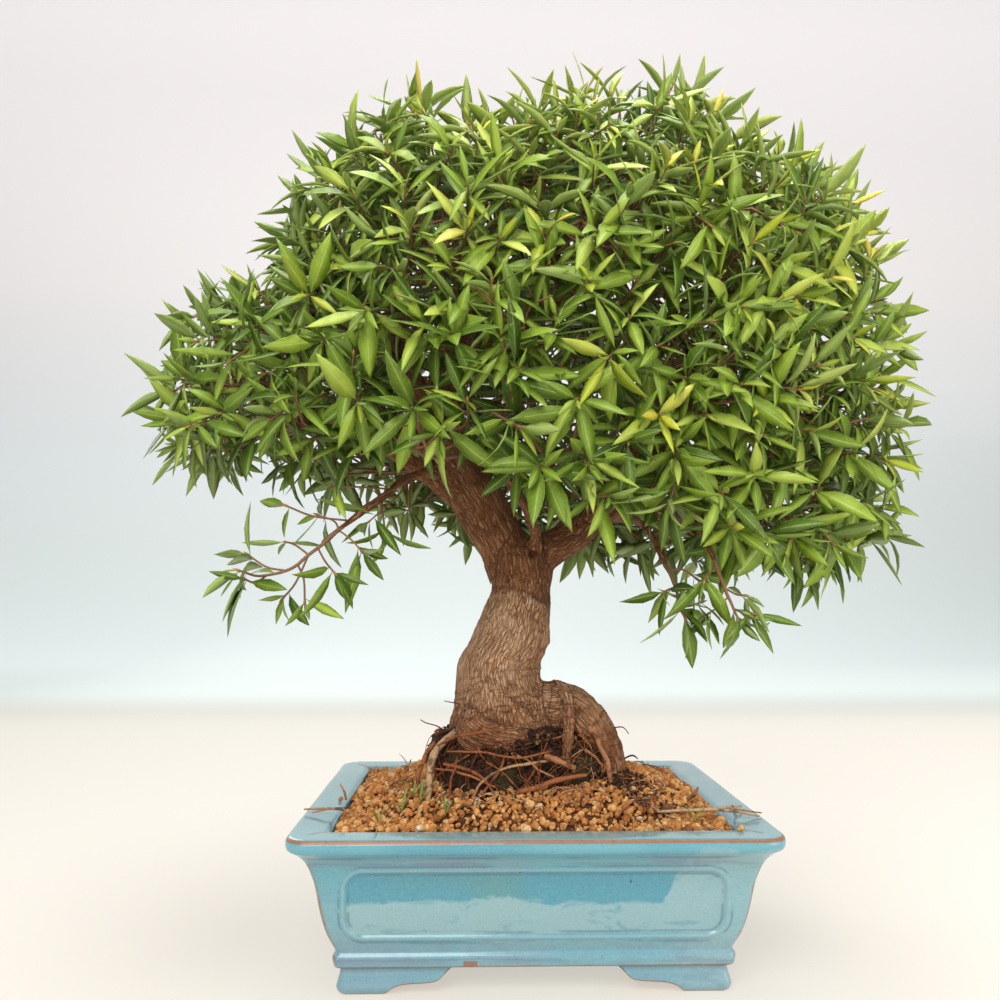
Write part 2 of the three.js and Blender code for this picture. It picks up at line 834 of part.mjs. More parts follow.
function wood(grow = 0) {
  const parts = [trunkColumn(grow), bar(KNEE, 10, 6, grow), bar(STRAP, 5, 6, grow)];
  for (const stations of Object.values(LIMBS)) {
    const thick = stations[0][3];
    const sides = thick > 11 ? 9 : thick > 5 ? 6 : 4;
    parts.push(bar(stations, sides, stations.length, grow));
  }
  for (const { limb } of Object.values(SHOOTS)) {
    if (limb) {
      parts.push(bar(limb, 4, 4, grow));
    }
  }
  for (const { path, radii } of twigs) {
    parts.push(tube(path, radii, 4, grow));
  }
  for (const root of roots) {
    parts.push(bar(root, 4, 3, grow));
  }
  return largest(union(parts));
}

const trunk = wood();
const trunkHole = wood(CLEARANCE);
const taken = [{ solid: trunk, box: trunk.boundingBox(), node: null }];

const clusters = places.map((place, i) => {
  const { end, along } = twigs[i];
  const others = places.filter((other) => other !== place);
  const outward = place.clone().sub(CROWN_MIDDLE).normalize();
  const start = end.clone().addScaledVector(along, CLEARANCE + 0.02);
  const stub = tube([start, start.clone().addScaledVector(along, CORE_THICK * 0.9)], [TWIG_RADIUS, 1.5], 4);
  const lump = largest(core(place, others).add(stub).subtract(trunkHole));
  const name = `foliage_${String(i + 1).padStart(2, "0")}`;
  return { name, place, outward, parts: [lump] };
});
const shoots = Object.entries(SHOOTS).map(([name, { way }]) => {
  const path = way.map(([x, y, z]) => vec(x, y, z));
  const along = path[1].clone().sub(path[0]).normalize();
  path[0].addScaledVector(along, CLEARANCE);
  const stem = largest(tube(path, [2, 1.7, 1.5, 1.2], 4).subtract(trunkHole));
  return { name, path, parts: [stem] };
});
for (const node of [...clusters, ...shoots]) {
  for (const solid of node.parts) {
    taken.push({ solid, box: solid.boundingBox(), node, blade: false });
  }
}
for (const node of shoots) {
  growLeaves(node, shootSeats(node.path), LEAVES_ON_A_SHOOT, taken);
}
for (const node of clusters) {
  growLeaves(node, whorlSeats(node), LEAVES_IN_A_CLUSTER, taken);
}

function meshOf(name, solid, finish) {
  const { vertProperties, triVerts } = solid.getMesh();
  const geometry = new THREE.BufferGeometry();
  geometry.setAttribute("position", new THREE.BufferAttribute(vertProperties, 3));
  geometry.setIndex(new THREE.BufferAttribute(triVerts, 1));
  const mesh = new THREE.Mesh(geometry, new THREE.MeshStandardMaterial(FINISHES[finish]));
  mesh.name = name;
  return mesh;
}

const bonsai = new THREE.Group();
const rootBallSolid = largest(rootBall().subtract(trunkHole));
let soilSolid = soil().subtract(rootBall(CLEARANCE)).subtract(trunkHole);
soilSolid = largest(soilSolid.subtract(screenPocket(-1)).subtract(screenPocket(1)));

bonsai.add(meshOf("pot", pot(), "glaze"));
bonsai.add(meshOf("drain_screen_left", drainScreen(-1), "plastic"));
bonsai.add(meshOf("drain_screen_right", drainScreen(1), "plastic"));
bonsai.add(meshOf("soil", soilSolid, "granules"));
bonsai.add(meshOf("root_ball", rootBallSolid, "peat"));
bonsai.add(meshOf("trunk", trunk, "bark"));
for (const node of [...clusters, ...shoots]) {
  bonsai.add(meshOf(node.name, largest(union(node.parts)), "leaf"));
}

export default bonsai;
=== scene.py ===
"""Willow leaf fig bonsai: finer pieces, materials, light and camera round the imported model.

Lengths are in millimetres and become metres when a piece is made."""

import math
from itertools import product

import bmesh
import bpy
import numpy as np
from mathutils import Matrix, Vector


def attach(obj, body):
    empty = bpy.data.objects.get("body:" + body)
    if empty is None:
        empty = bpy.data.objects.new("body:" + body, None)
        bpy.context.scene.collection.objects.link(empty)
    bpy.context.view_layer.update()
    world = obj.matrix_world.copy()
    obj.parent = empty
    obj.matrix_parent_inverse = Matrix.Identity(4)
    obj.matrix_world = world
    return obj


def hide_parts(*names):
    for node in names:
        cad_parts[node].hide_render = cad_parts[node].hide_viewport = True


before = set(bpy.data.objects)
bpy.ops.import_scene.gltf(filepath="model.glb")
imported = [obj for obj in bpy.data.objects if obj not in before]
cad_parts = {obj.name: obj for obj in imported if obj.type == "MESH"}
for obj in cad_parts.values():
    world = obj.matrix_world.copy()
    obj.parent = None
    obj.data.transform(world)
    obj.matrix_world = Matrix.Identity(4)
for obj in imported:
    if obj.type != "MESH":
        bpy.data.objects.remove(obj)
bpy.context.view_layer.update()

MM = 0.001
UP = np.array([0.0, 0.0, 1.0])
TURN = 2 * math.pi
GOLDEN_TURN = 2.39996

# The object's main sizes, the same as the solids have
POT_LENGTH = 270
POT_DEPTH = 216
CORNER_RADIUS = 14
CORNER_SHARPENING = 0.75
SMALLEST_CORNER_RADIUS = 4
FLOOR_UNDER = 14.5
FLOOR_TOP = 22.5
DRAIN_DIAMETER = 18
DRAIN_SPACING = 110
SOIL_EDGE = 85.5
SOIL_RISE = 17


# Arithmetic on rows of points


def ring_turns(count):
    """The angles of that many points spread evenly round a ring."""
    return np.arange(count) * TURN / count


def bell(value, middle, width):
    """1 at the middle, falling off smoothly over the width to each side."""
    return np.exp(-(((value - middle) / width) ** 2))


def unit(rows):
    """The rows at length 1."""
    rows = np.asarray(rows, float)
    return rows / np.maximum(np.linalg.norm(rows, axis=-1, keepdims=True), 1e-12)


def column(values):
    """Values as a column, to scale rows by."""
    return np.asarray(values, float)[..., None]


def at_angle(angle, ahead, side):
    """The directions turned by each angle from ahead towards side."""
    return column(np.cos(angle)) * ahead + column(np.sin(angle)) * side


def smoothstep(values, low, high):
    """0 below low, 1 above high, smooth between."""
    t = np.clip((np.asarray(values, float) - low) / (high - low), 0, 1)
    return t * t * (3 - 2 * t)


def noise(points, seed=0):
    """Smooth noise from -1 to 1 at each point, with a period of 1."""
    cell = np.floor(points).astype(np.int64)
    part = points - cell
    part = part * part * (3 - 2 * part)
    total = np.zeros(len(points))
    for corner in product((0, 1), repeat=3):
        c = cell + corner
        h = (c[:, 0] * 73856093) ^ (c[:, 1] * 19349663) ^ (c[:, 2] * 83492791) ^ (seed * 97531 + 7)
        h = ((h ^ (h >> 13)) * 1274126177) & 0x7FFFFFFF
        h = ((h ^ (h >> 11)) * 668265263) & 0x7FFFFFFF
        value = ((h >> 7) & 0xFFFF) / 32767.5 - 1
        total += value * np.prod(np.where(corner, part, 1 - part), axis=1)
    return total


def curve(stations, steps):
    """Points on a smooth line through the stations, with any further columns, such as a radius."""
    s = np.asarray(stations, float)
    s = np.vstack([2 * s[0] - s[1], s, 2 * s[-1] - s[-2]])
    place = np.linspace(0, len(s) - 3, steps + 1)
    low = np.minimum(place.astype(int), len(s) - 4)
    t = column(place - low)
    a, b, c, d = (s[low + i] for i in range(4))
    return 0.5 * (2 * b + (c - a) * t + (2 * a - 5 * b + 4 * c - d) * t**2 + (3 * b - a - 3 * c + d) * t**3)


def frames(path):
    """The directions along a path, and two across it that turn as little as they can."""
    along = unit(np.gradient(path, axis=0))
    side = np.empty_like(path)
    last = np.eye(3)[np.argmin(np.abs(along[0]))]
    for i, way in enumerate(along):
        last = unit(last - way * (last @ way))
        side[i] = last
    return along, side, np.cross(along, side)


# Shapes: points and faces gathered in millimetres, then made into a piece


class Shape:
    """Points, faces and point values of one piece."""

    def __init__(self):
        self.points = []
        self.faces = []
        self.values = []
        self.count = 0

    def add(self, points, faces, wears=0, **values):
        """Adds points, and faces as index arrays of 3 or 4 columns. wears picks the material."""
        points = np.asarray(points, float)
        self.points.append(points)
        for group in faces:
            self.faces.append((np.asarray(group) + self.count, wears))
        self.values.append((len(points), values))
        self.count += len(points)

    def bar(self, path, sides, radii=None, **values):
        """Adds a round bar with blunt ends along a path, whose fourth column has its radii if none are given."""
        radii = np.broadcast_to(path[:, 3] if radii is None else radii, len(path))
        path = path[:, :3]
        along, side, over = frames(path)
        ring = at_angle(ring_turns(sides), side[:, None], over[:, None])
        first = path[0] - along[0] * radii[0] * 0.6
        last = path[-1] + along[-1] * radii[-1] * 0.6
        self.add(*closed(path[:, None] + ring * radii[:, None, None], first, last), **values)

    def named(self, name):
        """One named value at every point, zero where it wasn't given."""
        return np.concatenate([np.broadcast_to(v.get(name, 0.0), n) for n, v in self.values])


def linked(name, data):
    """A new object in the scene."""
    obj = bpy.data.objects.new(name, data)
    bpy.context.scene.collection.objects.link(obj)
    return obj


def dress(obj, replaced=()):
    """Fixes a piece to the part's body and hides the nodes that it stands for."""
    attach(obj, "root")
    if replaced:
        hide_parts(*replaced)
    return obj


def mesh_of(name, shape, names=()):
    """A mesh of the shape, with each named value as an attribute."""
    mesh = bpy.data.meshes.new(name)
    points = np.concatenate(shape.points) * MM
    corners = np.concatenate([f.ravel() for f, _ in shape.faces])
    sizes = np.concatenate([np.full(len(f), f.shape[1]) for f, _ in shape.faces])
    wears = np.concatenate([np.full(len(f), w) for f, w in shape.faces])
    mesh.vertices.add(len(points))
    mesh.vertices.foreach_set("co", points.astype(np.float32).ravel())
    mesh.loops.add(len(corners))
    mesh.loops.foreach_set("vertex_index", corners.astype(np.int32))
    mesh.polygons.add(len(sizes))
    mesh.polygons.foreach_set("loop_start", (np.cumsum(sizes) - sizes).astype(np.int32))
    mesh.polygons.foreach_set("material_index", wears.astype(np.int32))
    mesh.update(calc_edges=True)
    mesh.shade_smooth()
    for key in names:
        set_value(mesh, key, shape.named(key))
    return mesh


def set_value(mesh, name, values):
    """Keeps a value for each point of the mesh, for its material to read."""
    made = mesh.attributes.new(name, "FLOAT", "POINT")
    made.data.foreach_set("value", np.asarray(values, np.float32))


def piece(name, shape, materials, replaced=(), names=()):
    """Makes the shape an object of the part."""
    mesh = mesh_of(name, shape, names)
    for material in materials:
        mesh.materials.append(material)
    return dress(linked(name, mesh), replaced)


def lattice(rows, columns, closed=True):
    """Quads between rows of points, whose outer side is on the right of the way up."""
    i = np.arange(rows - 1)[:, None] * columns
    k = np.arange(columns if closed else columns - 1)[None]
    after = (k + 1) % columns
    quads = np.stack([i + k, i + after, i + columns + after, i + columns + k], -1)
    return quads.reshape(-1, 4)


def closed(rings, first, last):
    """The skin over rings of points that follow each other, ended by a point at each side."""
    count = len(rings[0])
    k = np.arange(count)
    after = (k + 1) % count
    far = (len(rings) - 1) * count
    middle = len(rings) * count
    caps = [
        np.stack([after, k, np.full(count, middle)], -1),
        np.stack([far + k, far + after, np.full(count, middle + 1)], -1),
    ]
    return np.vstack([np.reshape(rings, (-1, 3)), first, last]), [lattice(len(rings), count), *caps]


def lump_models(count, subdivisions, roughness, seed):
    """A few different lumps of radius 1, to be turned and scaled: their points and their faces."""
    bm = bmesh.new()
    bmesh.ops.create_icosphere(bm, subdivisions=subdivisions, radius=1)
    ball = np.array([v.co[:] for v in bm.verts])
    faces = np.array([[v.index for v in f.verts] for f in bm.faces])
    bm.free()
    models = []
    for i in range(count):
        swell = 1 + roughness * noise(ball * 1.3 + 17.3 * i, seed)
        swell += roughness * 0.5 * noise(ball * 2.9 - 5.1 * i, seed)
        models.append(ball * column(swell))
    return np.array(models), faces


def turned(count, draw):
    """That many random turns, as 3 by 3 matrices."""
    w, x, y, z = unit(draw.normal(size=(count, 4))).T
    rows = [
        [1 - 2 * (y * y + z * z), 2 * (x * y - z * w), 2 * (x * z + y * w)],
        [2 * (x * y + z * w), 1 - 2 * (x * x + z * z), 2 * (y * z - x * w)],
        [2 * (x * z - y * w), 2 * (y * z + x * w), 1 - 2 * (x * x + y * y)],
    ]
    return np.moveaxis(np.array(rows), 2, 0)


def scatter(shape, lumps, places, sizes, draw, tone):
    """Adds a randomly turned lump at each place. sizes has three half widths a lump."""
    models, faces = lumps
    kinds = draw.integers(0, len(models), len(places))
    turns = turned(len(places), draw)
    points = np.einsum("nij,nkj->nki", turns, models[kinds] * sizes[:, None, :]) + places[:, None, :]
    offsets = (np.arange(len(places)) * points.shape[1])[:, None, None]
    copies = (faces[None] + offsets).reshape(-1, faces.shape[1])
    shape.add(points.reshape(-1, 3), [copies], tone=np.repeat(tone, points.shape[1]))


# Materials


def linear(colour):
    """A colour in linear light, from its red, green and blue on a screen as six hexadecimal digits."""
    parts = [int(colour[i : i + 2], 16) / 255 for i in (0, 2, 4)]
    return (*[c / 12.92 if c <= 0.04045 else ((c + 0.055) / 1.055) ** 2.4 for c in parts], 1.0)


class Value:
    """An output of a material's node, to be reckoned with like a number."""

    def __init__(self, look, socket):
        self.look = look
        self.socket = socket

    def __add__(self, other):
        return self.look.math("ADD", self, other)

    def __sub__(self, other):
        return self.look.math("SUBTRACT", self, other)

    def __mul__(self, other):
        return self.look.math("MULTIPLY", self, other)

    def __abs__(self):
        return self.look.math("ABSOLUTE", self)

    def band(self, low, high, bottom=0.0, top=1.0):
        """bottom up to low, top from high on, smooth between. Where high is less than low, it runs down."""
        inputs = {"Value": self, "From Min": low, "From Max": high, "To Min": bottom, "To Max": top}
        return self.look.node("MapRange", inputs, interpolation_type="SMOOTHSTEP")

    def stretched(self, *scale):
        return self.look.node("Mapping", {"Vector": self, "Scale": scale})

    def noise(self, scale, detail=3.0, roughness=0.5, distortion=0.0):
        inputs = {"Scale": scale, "Detail": detail, "Roughness": roughness, "Distortion": distortion}
        return self.look.node("TexNoise", {"Vector": self, **inputs})

    def warped(self, scale, amount):
        """The place moved about by noise, by up to half the amount."""
        node = self.look.node
        push = node("TexNoise", {"Vector": self, "Scale": scale, "Detail": 2.0}, "Color")
        push = node("VectorMath", {0: push, 1: (0.5, 0.5, 0.5)}, operation="SUBTRACT")
        push = node("VectorMath", {0: push, "Scale": amount}, operation="SCALE")
        return node("VectorMath", {0: self, 1: push}, operation="ADD")

    def cells(self, scale, feature="F1", output="Distance"):
        return self.look.node("TexVoronoi", {"Vector": self, "Scale": scale}, output, feature=feature)

    def ramp(self, *stops):
        """Colours at rising values, each a pair of a value and a colour."""
        made = self.look.nodes.new("ShaderNodeValToRGB")
        self.look.put(made.inputs[0], self)
        elements = made.color_ramp.elements
        while len(elements) < len(stops):
            elements.new(0.5)
        for element, (position, colour) in zip(elements, stops):
            element.position = position
            element.color = linear(colour) if isinstance(colour, str) else colour
        return Value(self.look, made.outputs[0])


class Look:
    """A material, and short names for the nodes that it's made of. Colours are strings for linear()."""

    def __init__(self, name, **surface):
        self.material = bpy.data.materials.new(name)
        self.material.use_nodes = True
        tree = self.material.node_tree
        self.nodes = tree.nodes
        self.links = tree.links
        self.shader = self.nodes["Principled BSDF"]
        # The place in the part's frame, in metres
        self.place = self.node("TexCoord", {}, "Object")
        self.finish(**surface)

    def along(self, axis):
        """The part of the place along X, Y or Z."""
        return self.node("SeparateXYZ", {0: self.place}, axis)

    def put(self, socket, value):
        """Links the value to the socket, or sets it where the value is a number or a colour."""
        if isinstance(value, Value):
            self.links.new(value.socket, socket)
        elif value is not None:
            socket.default_value = linear(value) if isinstance(value, str) else value

    def node(self, kind, inputs, output=0, **settings):
        """A new node with those inputs and settings, by the output of it that is wanted."""
        made = self.nodes.new("ShaderNode" + kind)
        for key, value in settings.items():
            setattr(made, key, value)
        for key, value in inputs.items():
            self.put(made.inputs[key], value)
        return Value(self, made.outputs[output])

    def math(self, operation, a, b=None):
        return self.node("Math", {0: a, 1: b}, operation=operation)

    def value(self, name, output="Fac"):
        """What the mesh says at each point under that name."""
        return self.node("Attribute", {}, output, attribute_name=name)

    def mix(self, share, a, b):
        """The share of colour b over colour a."""
        made = self.nodes.new("ShaderNodeMix")
        made.data_type = "RGBA"
        for socket, value in (("Factor", share), (6, a), (7, b)):
            self.put(made.inputs[socket], value)
        return Value(self, made.outputs[2])

    def layers(self, colour, *covers):
        """The colour under others, each a pair of its share and its colour, the last on top."""
        for share, cover in covers:
            colour = self.mix(share, colour, cover)
        return colour

    def bump(self, height, distance, strength=1.0, onto=None):
        """A surface's direction, with the height raised by the distance in millimetres."""
        inputs = {"Height": height, "Distance": distance * MM, "Strength": strength, "Normal": onto}
        return self.node("Bump", inputs)

    def finish(self, **sockets):
        """Puts a value on each of the shader's sockets that is named, and gives the material."""
        for key, value in sockets.items():
            self.put(self.shader.inputs[key.replace("_", " ")], value)
        return self.material


def glaze_material():
    """Turquoise glaze: thin and brown over sharp edges, dark where it pools, paler low on the panels and at the right
    end by a painted reflection, paler on the beads' crests by a painted highlight.
    """
    look = Look("turquoise_glaze", IOR=1.5, Coat_Weight=0.3, Coat_Roughness=0.06)
    x, y, height = (look.along(axis) for axis in "XYZ")
    bare, panel, line = (look.value(name) for name in ("bare", "panel", "line"))
    wide = look.place.noise(11, 3, 0.5, 0.6)
    clouds = look.place.stretched(1, 1, 2.2).noise(38, 4, 0.6, 1.2)
    runs = look.place.stretched(1, 1, 7).noise(26)
    blue = look.mix(wide.band(0.36, 0.64), "4c92a6", "64a4b0")
    dull = look.mix(clouds.band(0.4, 0.62), "7e9aa8", "76a2aa")
    teal = look.mix(wide.band(0.4, 0.6), "508e90", "428ea2")
    # A painted reflection makes the glaze paler low on the panel and at the right end. It ends in a wavy line across
    # the panel, which drops beyond the panel's right end
    reflection_edge = height + (wide - 0.5) * 0.022 + (clouds - 0.5) * 0.01 - x.band(0.066, 0.088, 0.0, 0.032)
    reflection_places = look.math("MAXIMUM", x.band(0.06, 0.1, 0.25, 0.8), panel.band(0.5, 1.0))
    reflection_share = reflection_edge.band(0.0535, 0.051) * reflection_places * clouds.band(0.34, 0.44, 0.45, 0.9)
    specks = look.place.stretched(1, 1, 0.4)
    few_specks = specks.cells(110).band(0.09, 0.05) * specks.cells(110, output="Color").band(0.6, 0.62)
    # Bare clay: on the edges, and where a chip is off the moulding in front
    chip_wide = abs(x + 0.0355).band(0.0042, 0.0034)
    chip_high = abs(height - 0.0165).band(0.0022, 0.0016)
    chip = chip_wide * chip_high * y.band(0.0, -0.02)
    pot_marks = bare + (clouds - 0.5) * 0.5
    bare_share = look.math("MAXIMUM", pot_marks.band(0.35, 0.62) * bare.band(0.05, 0.2), chip * 0.9)
    colour = look.layers(
        blue,
        (height.band(0.081, 0.078, 0.0, 0.75) * wide.band(0.66, 0.42), dull),
        (panel * 0.85, teal),
        (height.band(0.0868, 0.0878, 0.0, 0.5), "96baba"),
        # Painted reflection: paler low on the panels and at the right end
        (reflection_share, "92b2b6"),
        (height.band(0.0285, 0.0265) * clouds.band(0.44, 0.6, 0.15, 0.8), "7698a8"),
        # Painted highlight: paler on the beads' crests; the glaze pools darker beside them
        (line.band(0.2, 1.0, 0.0, 0.5), "8eb0b6"),
        (line.band(-0.2, -0.9) * runs.band(0.4, 0.56) * 0.6, "346c82"),
        (look.value("streak") * runs.band(0.4, 0.6) * 0.8, "62506c"),
        (0.16, look.place.noise(900, 2, 0.7).ramp((0.3, "2c6882"), (0.7, "a0c0c6"))),
        (few_specks, "2e424e"),
        (bare_share, look.mix(look.place.noise(400), "7c5842", "a07458")),
    )
    orange_peel = look.bump(look.place.noise(160, 2), 0.22, 0.5)
    return look.finish(
        Base_Color=colour,
        Roughness=clouds.band(0.3, 0.7, 0.1, 0.18) + bare_share * 0.3,
        Normal=look.bump(look.place.noise(30, 2), 1.1, 0.5, orange_peel),
    )


def screen_material():
    """Dark green moulded plastic with fine scratches."""
    look = Look("screen_plastic")
    scratch = look.place.stretched(40, 4, 4).noise(60)
    colour = look.mix(scratch, "222c26", "344038")
    roughness = scratch.band(0.3, 0.7, 0.4, 0.6)
    return look.finish(Base_Color=colour, Roughness=roughness, Normal=look.bump(scratch, 0.08))


def grain_material():
    """Fired clay granules: ochre, each grain its own shade, dusty and pitted, over a bed painted dark as shade between
    them.
    """
    look = Look("clay_granules", Specular_IOR_Level=0.2)
    mottle = look.place.noise(480, 4, 0.7)
    # The stop at 0 is the bed's colour, painted dark as shade in the gaps between the granules
    shades = [(0.0, "54321e"), (0.3, "aa6c3a"), (0.6, "d29252"), (0.84, "ecb876"), (0.93, "e6c694"), (1.0, "ecdec6")]
    colour = look.layers(
        look.value("tone").ramp(*shades),
        (mottle.band(0.55, 0.36, 0.0, 0.6), "7c4e2e"),
        (mottle.band(0.55, 0.72, 0.0, 0.5), "e4b67c"),
    )
    pits = look.bump(look.place.noise(1100, 3, 0.7), 0.5, 0.8)
    return look.finish(Base_Color=colour, Roughness=mottle.band(0.3, 0.7, 0.8, 0.95), Normal=pits)


def peat_material():
    """Old soil: near black crumbs, moss in patches and a few brown specks."""
    look = Look("mossy_peat", Specular_IOR_Level=0.2)
    crumbs = look.place.noise(420, 4, 0.7)
    moss_share = look.place.noise(60, 3, 0.6).band(0.5, 0.62) * look.along("Z").band(0.13, 0.11)
    colour = look.layers(
        crumbs.ramp((0.3, "160e0a"), (0.55, "3a2519"), (0.75, "704c34")),
        (moss_share * 0.5, look.mix(look.place.noise(700), "222616", "484e2a")),
        (look.value("tone").band(0.02, 1.0), "846044"),
    )
    fine = look.bump(look.place.noise(900, 4, 0.75), 0.8, 0.9)
    return look.finish(Base_Color=colour, Roughness=crumbs.band(0.3, 0.7, 0.8, 1.0), Normal=fine)


def bark_material():
    """Tan bark split by a net of fine wavy fissures, darker and redder in the limbs and near the soil, with painted
    shade in its creases and the knobs' hollows.
    """
    look = Look("fig_bark", Specular_IOR_Level=0.25)
    grain = look.value("grain", "Vector")
    wavy = grain.warped(0.11, 3.4)
    wide = look.place.noise(48, 4, 0.6)
    net = wavy.stretched(0.14, 1, 1).cells(0.52, "DISTANCE_TO_EDGE")
    threads = wavy.stretched(0.2, 1, 1).cells(0.85, "DISTANCE_TO_EDGE")
    fine = wavy.stretched(0.15, 1, 1).noise(0.75, 4, 0.65, 0.3)
    ledge = grain.warped(0.2, 3.0).stretched(1, 0.16, 0.16).noise(0.5, 3, 0.6)
    # The red begins above a ring round the neck, lower at its sides, and again below the trunk's waist
    climb = look.along("Z") + (wide - 0.5) * 0.01
    beside = look.along("X") + 0.011
    ring = climb + beside * beside * 17.0
    red_share = look.math("MAXIMUM", ring.band(0.216, 0.2205), climb.band(0.176, 0.122)) * 0.9
    open_here = wavy.stretched(0.4, 1, 1).noise(0.09, 2).band(0.36, 0.52, 0.35, 1.0)
    colour = look.layers(
        look.mix(wide.band(0.36, 0.64), "ba8c66", "d2aa84"),
        (red_share, look.mix(wide.band(0.36, 0.64), "784726", "965d35")),
        (fine.band(0.5, 0.66, 0.0, 0.55), "e4c098"),
        (fine.band(0.46, 0.32, 0.0, 0.6), "7e4c2e"),
        (net.band(0.11, 0.03) * open_here * 0.66, "5c3624"),
        (threads.band(0.1, 0.03, 0.0, 0.4), "744830"),
        (ledge.band(0.52, 0.62) * look.along("Z").band(0.185, 0.145, 0.12, 0.75), "623822"),
        # Painted shade: near black in the creases and the knobs' hollows
        (look.value("pit_shade"), "362016"),
    )
    relief = net.band(0.0, 0.16) + fine * 0.8 + threads.band(0.0, 0.16) * 0.35
    normal = look.bump(relief, 1.1, 0.9, look.bump(ledge, 0.9, 0.6))
    return look.finish(Base_Color=colour, Roughness=fine.band(0.3, 0.7, 0.92, 0.7), Normal=normal)


def root_material():
    """Thin roots: red-brown to straw, each its own shade, with soil stuck to them."""
    look = Look("thin_roots", Specular_IOR_Level=0.25)
    rings = look.place.noise(700, 3, 0.7)
    shades = [(0.0, "48281a"), (0.35, "864828"), (0.6, "a2643c"), (0.8, "b48a64"), (1.0, "d6be9a")]
    colour = look.layers(
        look.value("tone").ramp(*shades),
        (rings.band(0.45, 0.7, 0.0, 0.5), "543220"),
        (look.place.noise(150, 4, 0.65).band(0.5, 0.62, 0.0, 0.75), "382419"),
    )
    return look.finish(Base_Color=colour, Roughness=0.8, Normal=look.bump(rings, 0.5, 0.9))


def leaf_material():
    """Willow-like leaves: satin, with a thin pale midrib and rim, greyer beneath, young ones yellow."""
    look = Look("fig_leaf", Specular_IOR_Level=0.5, Specular_Tint=(0.95, 1.0, 0.72, 1.0))
    along = look.value("leaf_along")
    tone = look.value("leaf_tone")
    off_rib = abs(look.value("leaf_across"))
    # tone is the leaf's own tone with painted shade deeper in the crown and painted light towards its top and right
    grown = tone.ramp((0.0, "2c4414"), (0.35, "56761e"), (0.7, "90ac34"), (1.0, "c4d45e"))
    fresh = tone.ramp((0.0, "a0b622"), (0.6, "d0d438"), (1.0, "dec646"))
    blotch = look.place.noise(90, 3, 0.6)
    veins = look.math("SINE", along * 60.0 - off_rib * 9.0).band(0.4, 1.0)
    rib = off_rib.band(0.1, 0.03)
    above = look.layers(
        look.mix(look.value("leaf_young").band(0.1, 0.9), grown, fresh),
        (blotch.band(0.45, 0.75, 0.0, 0.3), "365618"),
        (veins * 0.1, "a8bc64"),
    )
    colour = look.layers(
        above,
        (look.value("leaf_under").band(0.35, 0.65), look.mix(0.55, above, "94a66c")),
        (rib * 0.5, "beca7c"),
        (off_rib.band(0.9, 0.98, 0.0, 0.35), "b0c468"),
        (along.band(0.09, 0.03), "a29c48"),
    )
    ribs = look.bump(rib * -1.0 + veins * -0.25, 0.2, 0.7)
    return look.finish(Base_Color=colour, Roughness=blotch.band(0.3, 0.7, 0.3, 0.44), Normal=ribs)


def twig_material():
    """Green wood of this year and its buds: orange-brown, slightly glossy."""
    look = Look("young_twigs", Specular_IOR_Level=0.4)
    rings = look.place.noise(500, 3, 0.6)
    shade = look.value("tone").ramp((0.0, "684e3a"), (0.5, "966a4a"), (1.0, "be8650"))
    colour = look.mix(rings.band(0.45, 0.7, 0.0, 0.45), shade, "5c402e")
    return look.finish(Base_Color=colour, Roughness=0.6, Normal=look.bump(rings, 0.3, 0.7))


def weed_material():
    """Tiny weeds: small leaves of dark red up to a tone of 0.45, blades of green from 0.6."""
    look = Look("seedlings")
    shade = look.value("tone").ramp((0.0, "542628"), (0.45, "70423a"), (0.6, "587c32"), (1.0, "8cac50"))
    mottle = look.place.noise(900, 2)
    colour = look.mix(mottle.band(0.4, 0.8, 0.0, 0.4), shade, "343e22")
    return look.finish(Base_Color=colour, Roughness=0.55, Normal=look.bump(mottle, 0.15))


# Pot: one smooth outline carried up the outside, over the rim and down the inside


LONG_PANEL = 104
SHORT_PANEL = 77
PANEL_LOW = 31.5
PANEL_HIGH = 69
PANEL_CORNER = 11
PANEL_RECESS = 1.1
BEAD_HALF = 1.6
BEAD_RISE = 0.75
# How far in from the rim a side's straight stretch ends, about halfway up the panels
STRAIGHT_INSET = 22
CORNER_STEPS = 9
BEND_STEPS = 4
POT_NAMES = ["bare", "streak", "panel", "line"]

# Inset from the rim's outer edge, height, and the radius that rounds the bend
WALL_PROFILE = [
    (46, FLOOR_UNDER, 0),
    (25.2, FLOOR_UNDER, 1.4),
    (24.2, 20.6, 2.4),
    (26, 22.6, 0.7),
    (20.8, 34, 14),
    (17.8, 46, 12),
    (15.2, 61, 10),
    (12.6, 69, 5),
    (9.4, 74.5, 4),
    (4.6, 78.6, 3.5),
    (0.6, 81, 2),
    (0, 83.5, 2),
    (0, 85.6, 1.6),
    (1.6, 88, 1.4),
    (8, 88.1, 4),
    (19.5, 87.6, 3),
    (22.6, 85.6, 1.4),
    (24, 78, 4),
    (29.6, FLOOR_TOP, 3),
    (46, FLOOR_TOP, 0),
]


def rounded(profile):
    """The profile's points, with each bend rounded off by its radius."""
    points = np.array(profile, float)
    made = [points[0, :2]]
    for before, here, after in zip(points, points[1:], points[2:]):
        back, ahead = before[:2] - here[:2], after[:2] - here[:2]
        reach = min(here[2], 0.45 * np.hypot(*back), 0.45 * np.hypot(*ahead))
        a = here[:2] + back / np.hypot(*back) * reach
        b = here[:2] + ahead / np.hypot(*ahead) * reach
        for t in np.linspace(0, 1, BEND_STEPS):
            made.append((1 - t) ** 2 * a + 2 * t * (1 - t) * here[:2] + t * t * b)
    made.append(points[-1, :2])
    return np.array(made)


def on_outside(inset, height):
    """Whether a row of the profile is on the stretch of the outer wall that the panels are in."""
    return inset < 23.6 and 28 < height < 73


